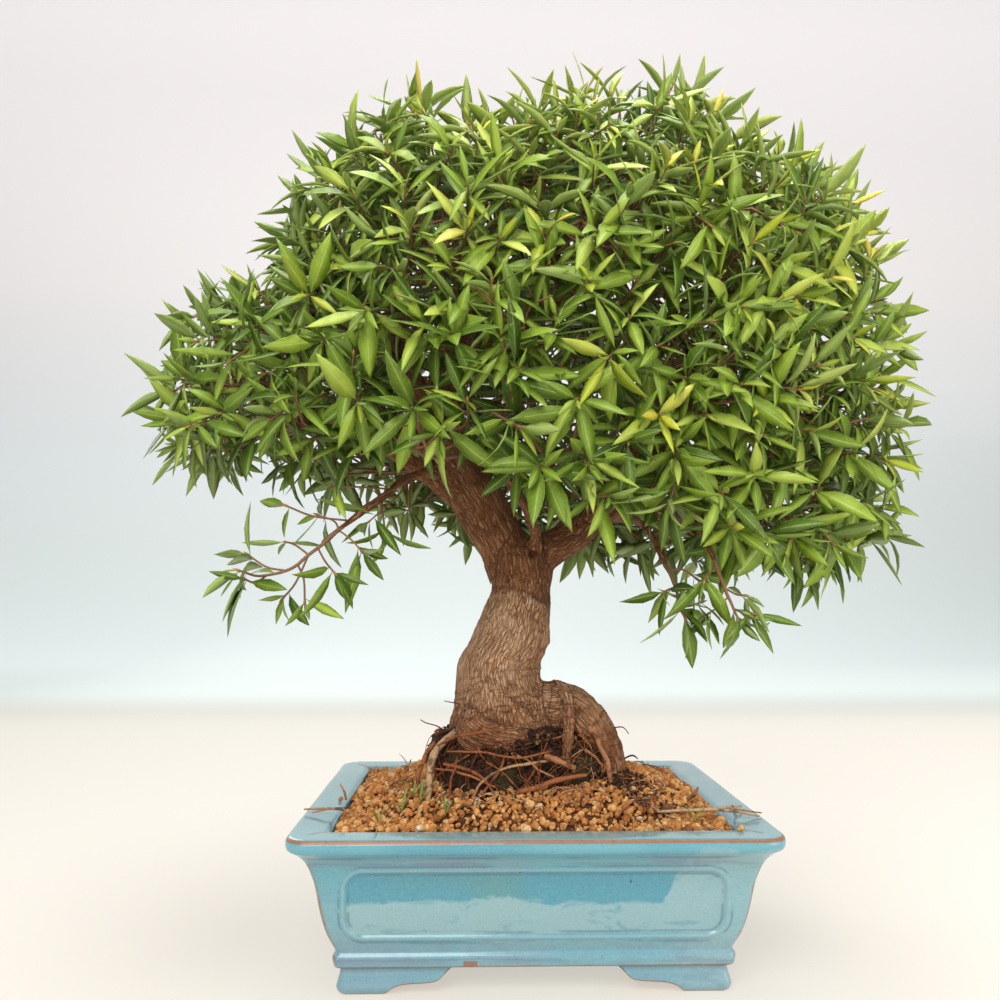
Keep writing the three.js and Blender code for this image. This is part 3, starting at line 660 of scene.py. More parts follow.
def wall_rows():
    """The wall's profile as rows close enough together for the panels' beads."""
    line = rounded(WALL_PROFILE)
    rows = [line[0]]
    for a, b in zip(line, line[1:]):
        inset, height = (a + b) / 2
        longest = 5.0
        if on_outside(inset, height):
            longest = 2.4 if PANEL_LOW + PANEL_CORNER < height < PANEL_HIGH - PANEL_CORNER else 0.75
        steps = max(1, math.ceil(np.hypot(*(b - a)) / longest))
        rows += [a + (b - a) * k / steps for k in range(1, steps + 1)]
    return np.array(rows)


def side_places(panel, straight):
    """Places along half a side, as shares of its straight stretch, dense by the panel's bead."""
    dense_from = (panel - PANEL_CORNER - 3) / straight
    coarse = np.linspace(0, dense_from, 11, endpoint=False)
    dense = np.linspace(dense_from, 1, 30)
    half = np.concatenate([coarse, dense])
    return np.concatenate([-half[:0:-1], half])


def corner(inset):
    """The middle and the radius of the outline's corner. Corners are rounder towards the rim."""
    radius = max(CORNER_RADIUS - CORNER_SHARPENING * inset, SMALLEST_CORNER_RADIUS)
    return POT_LENGTH / 2 - inset - radius, POT_DEPTH / 2 - inset - radius, radius


def outline(inset, long_places, short_places):
    """A rounded rectangle's points and outward directions, counter-clockwise from the front left."""
    x, y, radius = corner(inset)
    points, ways = [], []
    sides = [
        (long_places, x, y, (1, 0), (0, -1)),
        (short_places, y, x, (0, 1), (1, 0)),
        (long_places, x, y, (-1, 0), (0, 1)),
        (short_places, y, x, (0, -1), (-1, 0)),
    ]
    for places, reach, across, way, out in sides:
        way, out = np.array(way, float), np.array(out, float)
        points.append(column(places) * reach * way + (across + radius) * out)
        ways.append(np.tile(out, (len(places), 1)))
        angles = np.linspace(0, math.pi / 2, CORNER_STEPS + 2)[1:-1]
        turn = at_angle(angles, out, way)
        points.append(reach * way + across * out + radius * turn)
        ways.append(turn)
    return np.concatenate(points), np.concatenate(ways)


def panel_depths(points, height):
    """How far each point of a wall lies in a panel, negative outside it: distance to its outline."""
    long_side = np.abs(points[:, 1]) / POT_DEPTH > np.abs(points[:, 0]) / POT_LENGTH
    along = np.where(long_side, np.abs(points[:, 0]), np.abs(points[:, 1]))
    half = np.where(long_side, LONG_PANEL, SHORT_PANEL)
    from_side = half - along
    from_end = np.minimum(height - PANEL_LOW, PANEL_HIGH - height)
    over = np.hypot(np.maximum(PANEL_CORNER - from_side, 0), np.maximum(PANEL_CORNER - from_end, 0))
    in_corner = (from_side < PANEL_CORNER) & (from_end < PANEL_CORNER)
    return np.where(in_corner, PANEL_CORNER - over, np.minimum(from_side, from_end))


def wall_shift(points, height):
    """Outward shift of a wall's points for the panels' recesses and the beads round them."""
    depth = panel_depths(points, height)
    recess = PANEL_RECESS * smoothstep(depth, -0.2, 2.6)
    bead = BEAD_RISE * np.clip(1 - (depth / BEAD_HALF) ** 2, 0, 1)
    return bead - recess


def pot_body():
    """The pot without its feet, with values for bare edges, purple streaks, panels, and their lines: the beads'
    crests, painted paler as a highlight, and the pools beside them.
    """
    shape = Shape()
    long_places = side_places(LONG_PANEL, POT_LENGTH / 2 - STRAIGHT_INSET)
    short_places = side_places(SHORT_PANEL, POT_DEPTH / 2 - STRAIGHT_INSET)
    rings = []
    pot_marks = {name: [] for name in POT_NAMES}
    for inset, height in wall_rows():
        flat, ways = outline(inset, long_places, short_places)
        outside = on_outside(inset, height)
        depth = panel_depths(flat, height) if outside else np.full(len(flat), -30.0)
        if outside:
            flat = flat + ways * column(wall_shift(flat, height))
        ring = np.column_stack([flat, np.full(len(flat), height)])
        wobble = 0.25 * noise(ring * 0.03, 3) if height > FLOOR_UNDER + 1 else 0
        ring[:, :2] += ways * column(wobble * np.ones(len(flat)))
        rings.append(ring)
        edge = 1.2 - math.hypot(inset - 0.9, height - 87.0) / 1.6
        foot_edge = 1.1 - math.hypot(inset - 25, height - FLOOR_UNDER - 0.3) / 1.2
        arris = 0.52 * np.abs(2 * ways[:, 0] * ways[:, 1]) * (9 < inset < 24.8 and height > FLOOR_UNDER)
        pot_marks["bare"].append(np.maximum(arris, np.clip(max(edge, foot_edge), 0, 1)))
        streak = 0.0
        if inset < 27:
            streak = max(bell(height, 77.4, 0.8), 0.5 * bell(height, 73.4, 1.6))
            streak = max(streak, bell(height, 27.8, 0.8), bell(height, 18.8, 0.9))
        pot_marks["streak"].append(np.full(len(flat), streak))
        pot_marks["panel"].append(smoothstep(depth, 0, 2.4))
        # crest marks the bead for a painted highlight; pools marks where the glaze pools beside it
        crest = np.clip(1 - (depth / 1.5) ** 2, 0, 1)
        pools = bell(depth, 2.6, 0.9) + bell(depth, -2.4, 0.8)
        pot_marks["line"].append(crest - pools)
    ends = {"bare": [0.7, 0.2]}
    values = {name: np.append(np.concatenate(rows), ends.get(name, [0, 0])) for name, rows in pot_marks.items()}
    shape.add(*closed(rings, (0, 0, FLOOR_UNDER), (0, 0, FLOOR_TOP)), **values)
    return shape


# The underside of a foot beyond its flat: the control points of three curves, as distance and height
FOOT_CURVES = [
    [(0, 0.01), (3, 3.6), (6, 5), (12, 5.4)],
    [(12, 5.4), (18, 5.8), (24, 5.6), (28, 6.8)],
    [(28, 6.8), (32, 8.5), (33, 13), (44, 18.5)],
]
# Height and inset of a foot's outer face
FOOT_SIDE = np.array([(0, 28.4), (2, 27.0), (4.5, 26.3), (11, 28.2), (18, 28.2)])
FOOT_THICKNESS = 11
FOOT_TOP = FLOOR_UNDER + 2.5
FOOT_REACH = 42
LONG_FLAT = 25
SHORT_FLAT = 22


def foot_underside(distance):
    """The height of a foot's underside at each distance from its flat towards the gap."""
    t = column(np.linspace(0, 1, 16))
    shares = (1 - t) ** 3, 3 * t * (1 - t) ** 2, 3 * t * t * (1 - t), t**3
    line = np.concatenate([sum(s * p for s, p in zip(shares, points)) for points in np.array(FOOT_CURVES)])
    return np.interp(distance, line[:, 0], line[:, 1], left=0)


def foot(shape, right, back):
    """Adds one foot, which runs round a corner. right and back are 1 or -1."""
    half_length = POT_LENGTH / 2 - FOOT_SIDE[0, 1]
    half_depth = POT_DEPTH / 2 - FOOT_SIDE[0, 1]

    def station(long_side, place, angle):
        """The foot's section where the outline is at place on a side, or at angle on the corner."""
        section = []
        start = half_length - LONG_FLAT if long_side else half_depth - SHORT_FLAT
        low = 0.0 if angle is not None else float(foot_underside(start - place))
        low = min(low, FOOT_TOP - 1.2)
        rise = FOOT_TOP - low
        outer = [(0.9, low), (0.25, low + 0.25), (0, low + 0.9)]
        outer += [(0, low + rise * t) for t in (0.12, 0.25, 0.4, 0.55, 0.7, 0.85, 1.0)]
        inner = [(FOOT_THICKNESS, FOOT_TOP), (FOOT_THICKNESS, low + 0.9), (FOOT_THICKNESS - 0.25, low + 0.25)]
        inner += [(FOOT_THICKNESS - 0.9, low)]
        for shift, height in outer + inner:
            inset = np.interp(height, FOOT_SIDE[:, 0], FOOT_SIDE[:, 1]) + shift
            x, y, radius = corner(inset)
            if angle is not None:
                point = (x + radius * math.cos(angle), y + radius * math.sin(angle))
            elif long_side:
                point = (min(place, x), y + radius)
            else:
                point = (x + radius, min(place, y))
            section.append((right * point[0], back * point[1], height))
        return section

    def side(start, end):
        """Places along a side, close together where the underside swings."""
        return np.append(np.linspace(start - FOOT_REACH, start + 4, 40), np.linspace(start + 8, end - 8, 5))

    stations = [station(True, p, None) for p in side(half_length - LONG_FLAT, half_length)]
    stations += [station(True, 0, a) for a in np.linspace(math.pi / 2, 0, 9)]
    stations += [station(False, p, None) for p in side(half_depth - SHORT_FLAT, half_depth)[::-1]]
    points = np.array(stations)
    skin, faces = closed(points, points[0].mean(0), points[-1].mean(0))
    if right * back < 0:
        faces = [f[:, ::-1] for f in faces]
    lift = points[:, :, 2] - points[:, :, 2].min(1)[:, None]
    bare = np.clip(1.15 - lift / 1.2, 0, 1)
    bare[:, 10:] = 0.9
    shape.add(skin, faces, bare=np.append(bare.ravel(), [0, 0]))


def make_pot(glaze):
    body = piece("pot_body", pot_body(), [glaze], ["pot"], POT_NAMES)
    cut_drains(body)
    feet = Shape()
    for right, back in product((-1, 1), repeat=2):
        foot(feet, right, back)
    piece("pot_feet", feet, [glaze], names=POT_NAMES)


def cut_drains(body):
    """Cuts the two drain holes through the pot's floor."""
    for side in (-1, 1):
        middle = (side * DRAIN_SPACING / 2 * MM, 0, (FLOOR_UNDER + FLOOR_TOP) / 2 * MM)
        radius = DRAIN_DIAMETER / 2 * MM
        bpy.ops.mesh.primitive_cylinder_add(vertices=48, radius=radius, depth=20 * MM, location=middle)
        drill = bpy.context.object
        cut = body.modifiers.new("drain", "BOOLEAN")
        cut.operation = "DIFFERENCE"
        cut.solver = "MANIFOLD"
        cut.object = drill
        apply_modifiers(body)
        bpy.data.objects.remove(drill)


def apply_modifiers(obj):
    """Keeps the mesh as its modifiers leave it."""
    depsgraph = bpy.context.evaluated_depsgraph_get()
    made = bpy.data.meshes.new_from_object(obj.evaluated_get(depsgraph))
    old = obj.data
    obj.modifiers.clear()
    obj.data = made
    bpy.data.meshes.remove(old)
    obj.data.name = obj.name


# Soil: a bed of fine crumbs under a layer of clay granules


SOIL_HALF_LENGTH = 112
SOIL_HALF_DEPTH = 85
# The rim's opening: its inset from the rim's outer edge and the radius of its corners
OPENING_INSET = 23.3
OPENING_CORNER = 5
BED_COUNT = 96
BED_SQUARENESS = 12.0
BED_LOW = FLOOR_TOP + 3


def soil_height(x, y):
    """The height of the heap of soil at each place."""
    reach = np.hypot(x / SOIL_HALF_LENGTH, y / SOIL_HALF_DEPTH)
    climb = np.clip((1 - reach) / 0.42, 0, 1)
    back_slope = np.where(y > 0, 1 - 0.25 * np.clip(y / SOIL_HALF_DEPTH, 0, 1), 1)
    return SOIL_EDGE + SOIL_RISE * back_slope * climb * (2 - climb)


def in_pot(x, y, margin):
    """Whether points lie inside the rim's opening, that far from its wall."""
    half_x = POT_LENGTH / 2 - OPENING_INSET - margin - OPENING_CORNER
    half_y = POT_DEPTH / 2 - OPENING_INSET - margin - OPENING_CORNER
    over_x = np.maximum(np.abs(x) - half_x, 0)
    over_y = np.maximum(np.abs(y) - half_y, 0)
    return np.hypot(over_x, over_y) < OPENING_CORNER


def on_root_ball(x, y):
    """How far points reach across the root ball's outline on the soil: under 1 is inside."""
    return np.hypot((x - ROOT_BALL_MIDDLE[0]) / 58, (y - ROOT_BALL_MIDDLE[1]) / 52)


def soil_bed():
    """The bed that the granules lie on, down to the pot's floor."""
    turn = ring_turns(BED_COUNT)
    corners = np.abs(np.cos(turn)) ** BED_SQUARENESS + np.abs(np.sin(turn)) ** BED_SQUARENESS
    spread = corners ** (-1 / BED_SQUARENESS)
    half_x, half_y = SOIL_HALF_LENGTH - 1, SOIL_HALF_DEPTH - 1
    far = np.column_stack([np.cos(turn) * spread * half_x, np.sin(turn) * spread * half_y])
    rings = [np.column_stack([far * 0.93, np.full(BED_COUNT, BED_LOW)])]
    for share in np.linspace(1, 0.04, 26):
        x, y = (far * share).T
        height = soil_height(x, y) - 1.2
        ring = np.column_stack([x, y, height])
        ring[:, 2] += 0.9 * noise(ring * 0.11, 5)
        rings.append(ring)
    shape = Shape()
    # The bed's tone of 0 takes the darkest colour, a painted shade for the gaps between the granules
    shape.add(*closed(rings, (0, 0, BED_LOW), (0, 0, rings[-1][:, 2].mean())), tone=0.0)
    return shape


def grain_places(draw, pitch):
    """Places for granules, jittered over the open soil."""
    across = np.arange(-SOIL_HALF_LENGTH, SOIL_HALF_LENGTH + 1, pitch)
    x, y = np.meshgrid(across, np.arange(-SOIL_HALF_DEPTH - 1, SOIL_HALF_DEPTH + 2, pitch * 0.87))
    x = x + (np.arange(x.shape[0])[:, None] % 2) * pitch / 2
    x, y = x.ravel(), y.ravel()
    x = x + draw.uniform(-0.33, 0.33, len(x)) * pitch
    y = y + draw.uniform(-0.33, 0.33, len(y)) * pitch
    keep = in_pot(x, y, 1.2) & (on_root_ball(x, y) > 0.9)
    return x[keep], y[keep]


# Sizes of granules: their pitch, smallest and largest radius, how high they lie, and lump detail
GRAINS = [
    (5.4, 1.7, 2.6, (-0.4, 1.5), 2),
    (3.5, 1.1, 1.8, (-0.7, 1.8), 1),
    (4.6, 0.6, 1.0, (0.4, 2.8), 1),
]


def make_soil(grain):
    draw = np.random.default_rng(31)
    bed = soil_bed()
    for pitch, smallest, largest, (low, high), detail in GRAINS:
        lumps = lump_models(14, detail, 0.34, 4)
        x, y = grain_places(draw, pitch * (1))
        radius = draw.uniform(smallest, largest, len(x))
        places = np.column_stack([x, y, soil_height(x, y) + draw.uniform(low, high, len(x))])
        tone = np.clip(draw.normal(0.58, 0.2, len(x)), 0.02, 0.9)
        tone = np.where(draw.random(len(x)) < 0.012, draw.uniform(0.93, 1, len(x)), tone)
        sizes = column(radius) * draw.uniform(0.75, 1.2, (len(x), 3))
        scatter(bed, lumps, places, sizes, draw, tone)
    granules = piece("soil_granules", bed, [grain], ["soil"], ["tone"])
    granules.data.shade_flat()
    lumps = lump_models(5, 2, 0.34, 4)
    strays = Shape()
    spots = [(-64, -89.5, 89.4), (62, -88, 89.6), (112, -91, 89.2), (121, -52, 89.3), (-117.5, -20, 89.2)]
    sizes = column([1.5, 1.3, 1.8, 1.2, 1.3]) * draw.uniform(0.8, 1.1, (len(spots), 3))
    scatter(strays, lumps, np.array(spots), sizes, draw, [0.97, 0.7, 0.8, 0.6, 0.5])
    piece("grains_on_the_rim", strays, [grain], names=["tone"])


# Root ball: mossy peat, crumbs on it and thin roots over it


ROOT_BALL_MIDDLE = np.array([-6.0, -8.0, 0.0])
ROOT_BALL = [
    (62, 38, 34),
    (96, 60, 54),
    (107, 57, 52),
    (118, 53, 45),
    (128, 47, 38),
    (134, 36, 28),
]


BALL_SIDES = 150
BALL_RINGS = 46
CRUMBS = 900
HAIR_ROOTS = 210


def root_ball_surface(turn, level):
    """Points on the root ball, by the turn round it and the level from 0 to 5."""
    levels = np.arange(len(ROOT_BALL))
    table = np.array(ROOT_BALL, float)
    z, a, b = (np.interp(level, levels, table[:, i]) for i in range(3))
    swell = 1 + 0.06 * np.sin(3 * turn + level) + 0.04 * np.cos(5 * turn - level)
    return np.column_stack([a * swell * np.cos(turn), b * swell * np.sin(turn), z]) + ROOT_BALL_MIDDLE


def out_of_ball(points, climb):
    """The directions away from the root ball's middle axis, tilted up by the climb in millimetres."""
    return unit((points - ROOT_BALL_MIDDLE) * [1, 1, 0] + UP * climb)


def make_root_ball(peat):
    draw = np.random.default_rng(8)
    turn = ring_turns(BALL_SIDES)
    rings = []
    for level in np.linspace(0.6, 5, BALL_RINGS):
        ring = root_ball_surface(turn, np.full(BALL_SIDES, level))
        lumps = 2.2 * noise(ring * 0.09, 6) + 1.3 * noise(ring * 0.24, 7) + 0.8 * noise(ring * 0.6, 8)
        ring += out_of_ball(ring, 12) * column(lumps)
        rings.append(ring)
    low = ROOT_BALL_MIDDLE + UP * rings[0][:, 2].mean()
    shape = Shape()
    shape.add(*closed(rings, low, ROOT_BALL_MIDDLE + UP * 138), tone=0.0)
    crumbs = lump_models(8, 1, 0.3, 12)
    spots = root_ball_surface(draw.uniform(0, TURN, CRUMBS), draw.uniform(0.8, 4.9, CRUMBS))
    spots = spots + out_of_ball(spots, 12) * column(draw.uniform(0.2, 1.8, CRUMBS))
    radius = draw.uniform(0.6, 1.7, CRUMBS)
    tone = np.where(draw.random(CRUMBS) < 0.22, draw.uniform(0.3, 1, CRUMBS), 0)
    scatter(shape, crumbs, spots, column(radius) * draw.uniform(0.7, 1.2, (CRUMBS, 3)), draw, tone)
    # Crumbs on the ledge that the trunk stands on, lower and further out on the left
    turn = draw.uniform(-2.9, -0.15, CRUMBS // 3)
    ledge = np.column_stack([-10 + 40 * np.cos(turn), -6 + 42 * np.sin(turn), draw.uniform(125, 132, len(turn))])
    ledge[:, 2] -= 7 * smoothstep(ledge[:, 0], 6, -12)
    ledge[:, 1] -= 3 * smoothstep(ledge[:, 0], 6, -12)
    ledge += draw.normal(0, [2.2, 1.4, 1.6], ledge.shape)
    tone = np.where(draw.random(len(ledge)) < 0.22, draw.uniform(0.4, 1, len(ledge)), 0.2)
    scatter(shape, crumbs, ledge, draw.uniform(0.6, 1.8, (len(ledge), 3)), draw, tone)
    # Crumbs that fell on the soil by the knee
    fallen = np.column_stack([draw.normal(56, 9, CRUMBS // 5), draw.normal(-34, 10, CRUMBS // 5)])
    fallen = np.column_stack([fallen, soil_height(*fallen.T) + draw.uniform(1.6, 3.4, len(fallen))])
    scatter(shape, crumbs, fallen, draw.uniform(0.7, 2.0, (len(fallen), 3)), draw, [0.15] * len(fallen))
    piece("mossy_root_ball", shape, [peat], ["root_ball"], ["tone"])


def wander(stations, draw, wave, steps):
    """A smooth line through the stations that wanders off them by up to wave."""
    path = curve(stations, steps)
    place = path[:, :3] * 0.12
    sway = noise(place + draw.uniform(0, 90, 3)), noise(place - draw.uniform(0, 90, 3))
    fade = np.sin(np.linspace(0, math.pi, len(path)))
    path[:, 0] += wave * sway[0] * fade
    path[:, 1] += wave * sway[1] * fade
    path[:, 2] += wave * 0.5 * (sway[0] - sway[1]) * fade
    return path


HAIR_ROOT_RADII = [0.25, 0.35, 0.5, 0.75, 1.1]
HAIR_ROOT_SHARES = [0.34, 0.32, 0.2, 0.1, 0.04]
NAMED_ROOT_THICKNESS = 0.8
# Roots seen one by one in front, as x, y, z and radius along each before that factor, and its shade
NAMED_ROOTS = [
    (
        [(-46, -26, 131, 2.6), (-55, -36, 124, 2.9), (-60, -46, 116, 2.9), (-61, -55, 104, 2.2), (-61, -58, 94, 1.6)],
        0.86,
    ),
    ([(-52, -14, 128, 2.2), (-62, -24, 120, 2), (-67, -34, 110, 1.8), (-69, -42, 98, 1.5)], 0.62),
    ([(-56, -47, 126, 0.9), (-46, -49, 131, 1.0), (-32, -50, 134, 1.0), (-19, -47, 135.5, 0.8)], 0.42),
    (
        [(-34, -66, 101, 0.8), (-30, -68, 109, 0.9), (-18, -66, 116, 0.9), (-4, -62, 118, 1.0), (9, -58, 119, 0.9)],
        0.78,
    ),
    ([(8, -54, 121, 2.2), (16, -58, 118, 2.3), (25, -58, 115, 1.7)], 0.66),
    ([(-10, -66, 103, 1.6), (4, -64, 106, 2.0), (18, -62, 110, 1.8), (32, -58, 111, 1.2)], 0.52),
    ([(36, -26, 136, 2.6), (42, -36, 126, 2.2), (46, -42, 116, 1.9), (48, -46, 104, 1.6)], 0.68),
    ([(-52, -56, 117, 1.1), (-40, -60, 115, 1.2), (-28, -64, 109, 1.0), (-22, -67, 102, 0.8)], 0.45),
    ([(-44, -54, 121, 0.8), (-46, -60, 112, 0.8), (-49, -64, 100, 0.7)], 0.35),
    ([(-16, -52, 122, 0.8), (-20, -60, 113, 0.9), (-30, -68, 102, 0.8)], 0.4),
    ([(-50, -50, 123, 0.7), (-30, -57, 124, 0.8), (-8, -58, 121, 0.8), (12, -54, 124, 0.6)], 0.5),
    ([(-58, -44, 112, 0.8), (-40, -62, 113, 0.9), (-22, -66, 106, 0.7)], 0.6),
    ([(-43, -28, 148, 0.5), (-47, -31, 149.5, 0.45), (-53, -32, 150.5, 0.3)], 0.1),
    ([(-54, -36, 134, 0.6), (-60, -41, 137, 0.45), (-67, -42, 140.5, 0.35)], 0.1),
    ([(54, -14, 131, 0.5), (60, -17, 132, 0.45), (64.5, -17, 128, 0.3)], 0.15),
    ([(60, -10, 110, 0.9), (66, -12, 113, 0.7), (71, -12, 111.5, 0.5)], 0.1),
]


def make_roots(root):
    draw = np.random.default_rng(77)
    shape = Shape()
    for stations, tone in NAMED_ROOTS:
        path = wander(stations, draw, 1.2, 18)
        lumps = 1 + 0.2 * noise(path[:, :3] * 0.35, 2)
        shape.bar(path, 9, path[:, 3] * lumps * NAMED_ROOT_THICKNESS, tone=tone)
    for _ in range(HAIR_ROOTS):
        turn = draw.uniform(0, TURN)
        drift = draw.normal(0, 0.45)
        high = draw.uniform(2.6, 4.8)
        low = draw.uniform(0.7, 1.6) if draw.random() < 0.7 else high - draw.uniform(0.4, 1.4)
        shares = np.linspace(0, 1, 5)
        line = root_ball_surface(turn + drift * shares, high + (low - high) * shares)
        line += out_of_ball(line, 10) * column(draw.uniform(0.4, 3.4, 5))
        radius = draw.choice(HAIR_ROOT_RADII, p=HAIR_ROOT_SHARES)
        stations = np.column_stack([line, np.linspace(radius, radius * 0.6, 5)])
        path = wander(stations, draw, 4.0, 11)
        tone = np.clip(draw.normal(0.38, 0.2), 0, 0.9)
        shape.bar(path, 4 if radius < 0.6 else 6, tone=tone)
    piece("thin_roots", shape, [root], names=["tone"])


STRAWS = 70
STRAWS_BY_THE_BALL = 34
DRY_LEAVES = 26


def litter(shape, draw):
    """Dry straws and root ends that lie on the soil, the first of them round the root ball."""
    for i in range(STRAWS):
        x, y = draw.uniform(-104, 104), draw.uniform(-80, 78)
        if on_root_ball(x, y) < 1.0 and i % 2:
            continue
        if i < STRAWS_BY_THE_BALL:
            turn = draw.uniform(-2.9, -0.2)
            x = -6 + 72 * math.cos(turn) + draw.normal(0, 6)
            y = -8 + 62 * math.sin(turn) + draw.normal(0, 4)
        if not in_pot(x, y, 6):
            continue
        way = draw.uniform(0, TURN)
        length = draw.uniform(8, 26)
        bend = draw.normal(0, 0.8)
        shares = np.linspace(-0.5, 0.5, 5)
        ways = way + bend * shares
        line = np.column_stack([x + length * shares * np.cos(ways), y + length * shares * np.sin(ways)])
        if not in_pot(line[:, 0], line[:, 1], 3).all():
            continue
        lift = 2.9 + draw.uniform(0, 2.2) * (1 - (2 * shares) ** 2) + draw.uniform(0, 1.0)
        stations = np.column_stack([line, soil_height(*line.T) + lift, np.full(5, draw.uniform(0.25, 0.6))])
        path = wander(stations, draw, 2.0, 10)
        shape.bar(path, 5, tone=float(np.clip(draw.normal(0.72, 0.16), 0.3, 0.98)))


# Straws and dry roots that lie over the rim and the right of the soil
NAMED_STRAWS = [
    ([(-134, -50, 90.2, 0.5), (-122, -54, 91.4, 0.7), (-112, -56, 91.6, 0.7), (-104, -60, 90.2, 0.5)], 0.8),
    ([(-128, -57, 90.0, 0.35), (-116, -55, 92.0, 0.5), (-106, -50, 91.0, 0.4)], 0.7),
    (
        [(72, -64, 91.5, 0.8), (88, -66, 92.6, 1), (104, -64, 92.4, 1), (116, -56, 92.2, 0.8), (126, -48, 90.5, 0.6)],
        0.92,
    ),
    ([(104, -64, 92.6, 0.7), (116, -66, 92.0, 0.8), (130, -69, 90.0, 0.6)], 0.88),
    ([(112, -58, 92.2, 0.4), (122, -62, 91.6, 0.5), (134, -61, 89.8, 0.4)], 0.75),
    ([(96, -40, 93.0, 1.3), (99, -46, 97.5, 1.5), (100, -50, 102.0, 0.5)], 0.78),
    ([(-112, -34, 92.0, 0.7), (-113, -38, 97.5, 0.8), (-115, -40, 102.5, 0.4)], 0.85),
]


def make_litter(root, weed):
    draw = np.random.default_rng(14)
    shape = Shape()
    litter(shape, draw)
    for stations, tone in NAMED_STRAWS:
        shape.bar(wander(stations, draw, 0.7, 14), 6, tone=tone)
    for _ in range(DRY_LEAVES):
        x, y = draw.uniform(-100, 104), draw.uniform(-78, -30)
        leaf_base = np.array([[x, y, float(soil_height(x, y)) + 3.2]])
        way = draw.uniform(0, TURN)
        along = unit([[math.cos(way), math.sin(way), draw.uniform(-0.1, 0.3)]])
        length, tone = draw.uniform(5, 10), draw.uniform(0.7, 0.95)
        blades(shape, leaf_base, along, UP[None], length, 0.3, 0.5, {"tone": tone})
    piece("straw_and_dry_roots", shape, [root], names=["tone"])
    make_weeds(draw, weed)


def make_weeds(draw, weed):
    """Small red-leaved weeds at the right front, and green sprouts at the left and behind."""
    shape = Shape()
    for x, y in [(58, -58), (67, -62), (72, -56), (64, -66), (80, -60)]:
        ground = float(soil_height(x, y)) + 1.5
        top = np.array([x + draw.normal(0, 1.5), y + draw.normal(0, 1.5), ground + draw.uniform(6, 10)])
        shape.bar(wander([(x, y, ground, 0.3), (*top, 0.25)], draw, 0.8, 5), 5, tone=0.1)
        count = 7
        turn = np.arange(count) * GOLDEN_TURN + draw.uniform(0, 6)
        along = unit(np.column_stack([np.cos(turn), np.sin(turn), draw.uniform(0, 0.8, count)]))
        base = top + along * 0.3 - UP * column(np.arange(count) * 0.6)
        tone = float(draw.choice([0.05, 0.3, 0.45]))
        lengths = draw.uniform(3.5, 6.0, count)
        blades(shape, base, along, np.tile(UP, (count, 1)), lengths, 0.6, 0.5, {"tone": tone})
    for x, y in [(-70, -50), (-66, -58), (-76, -58), (-88, -72), (-50, -70), (86, 30), (-80, 44), (92, -70)]:
        ground = float(soil_height(x, y)) + 1.5
        count = int(draw.integers(3, 6))
        turn = draw.uniform(0, TURN, count)
        lean = draw.uniform(0.1, 0.5, count)
        along = unit(np.column_stack([np.cos(turn) * lean, np.sin(turn) * lean, np.ones(count)]))
        base = np.tile([x, y, ground], (count, 1)) + along * 0.2
        face = unit(np.column_stack([-np.cos(turn), -np.sin(turn), lean]))
        lengths, tone = draw.uniform(7, 17, count), draw.uniform(0.62, 1.0)
        blades(shape, base, along, face, lengths, 0.09, 0.7, {"tone": tone})
    piece("weeds", shape, [weed], names=["tone"])


# Leaves: thin closed blades, arched along the midrib and folded a little along it


LEAF_STATIONS = np.array([0.1, 0.27, 0.5, 0.73, 0.9])
LEAF_WIDTHS = np.array([0.14, 0.74, 1.0, 0.7, 0.28])
LEAF_ACROSS = np.array([-1.0, 0.0, 1.0])
LEAF_THICKNESS = 0.42
# A section's points one after another: left edge, top, right edge, beneath
LEAF_ROUND = [(0, 1), (1, 2), (2, 3), (3, 0)]


def leaf_faces():
    """The triangles of one blade, split alike on top and beneath so that the two never cross."""
    rows = len(LEAF_STATIONS)
    foot, tip = rows * 4, rows * 4 + 1
    last = rows * 4 - 4
    tris = [(foot, b, a) for a, b in LEAF_ROUND] + [(tip, last + a, last + b) for a, b in LEAF_ROUND]
    for i in range(0, last, 4):
        for edge, middle in [(0, 1), (2, 3), (2, 1), (0, 3)]:
            near, far = i + edge, i + 4 + edge
            two = [(near, i + middle, i + 4 + middle), (near, i + 4 + middle, far)]
            tris += two if middle - edge == 1 else [t[::-1] for t in two]
    return np.array(tris)


LEAF_TRIS = leaf_faces()
LEAF_NAMES = ["leaf_along", "leaf_across", "leaf_under", "leaf_tone", "leaf_young", "tone"]


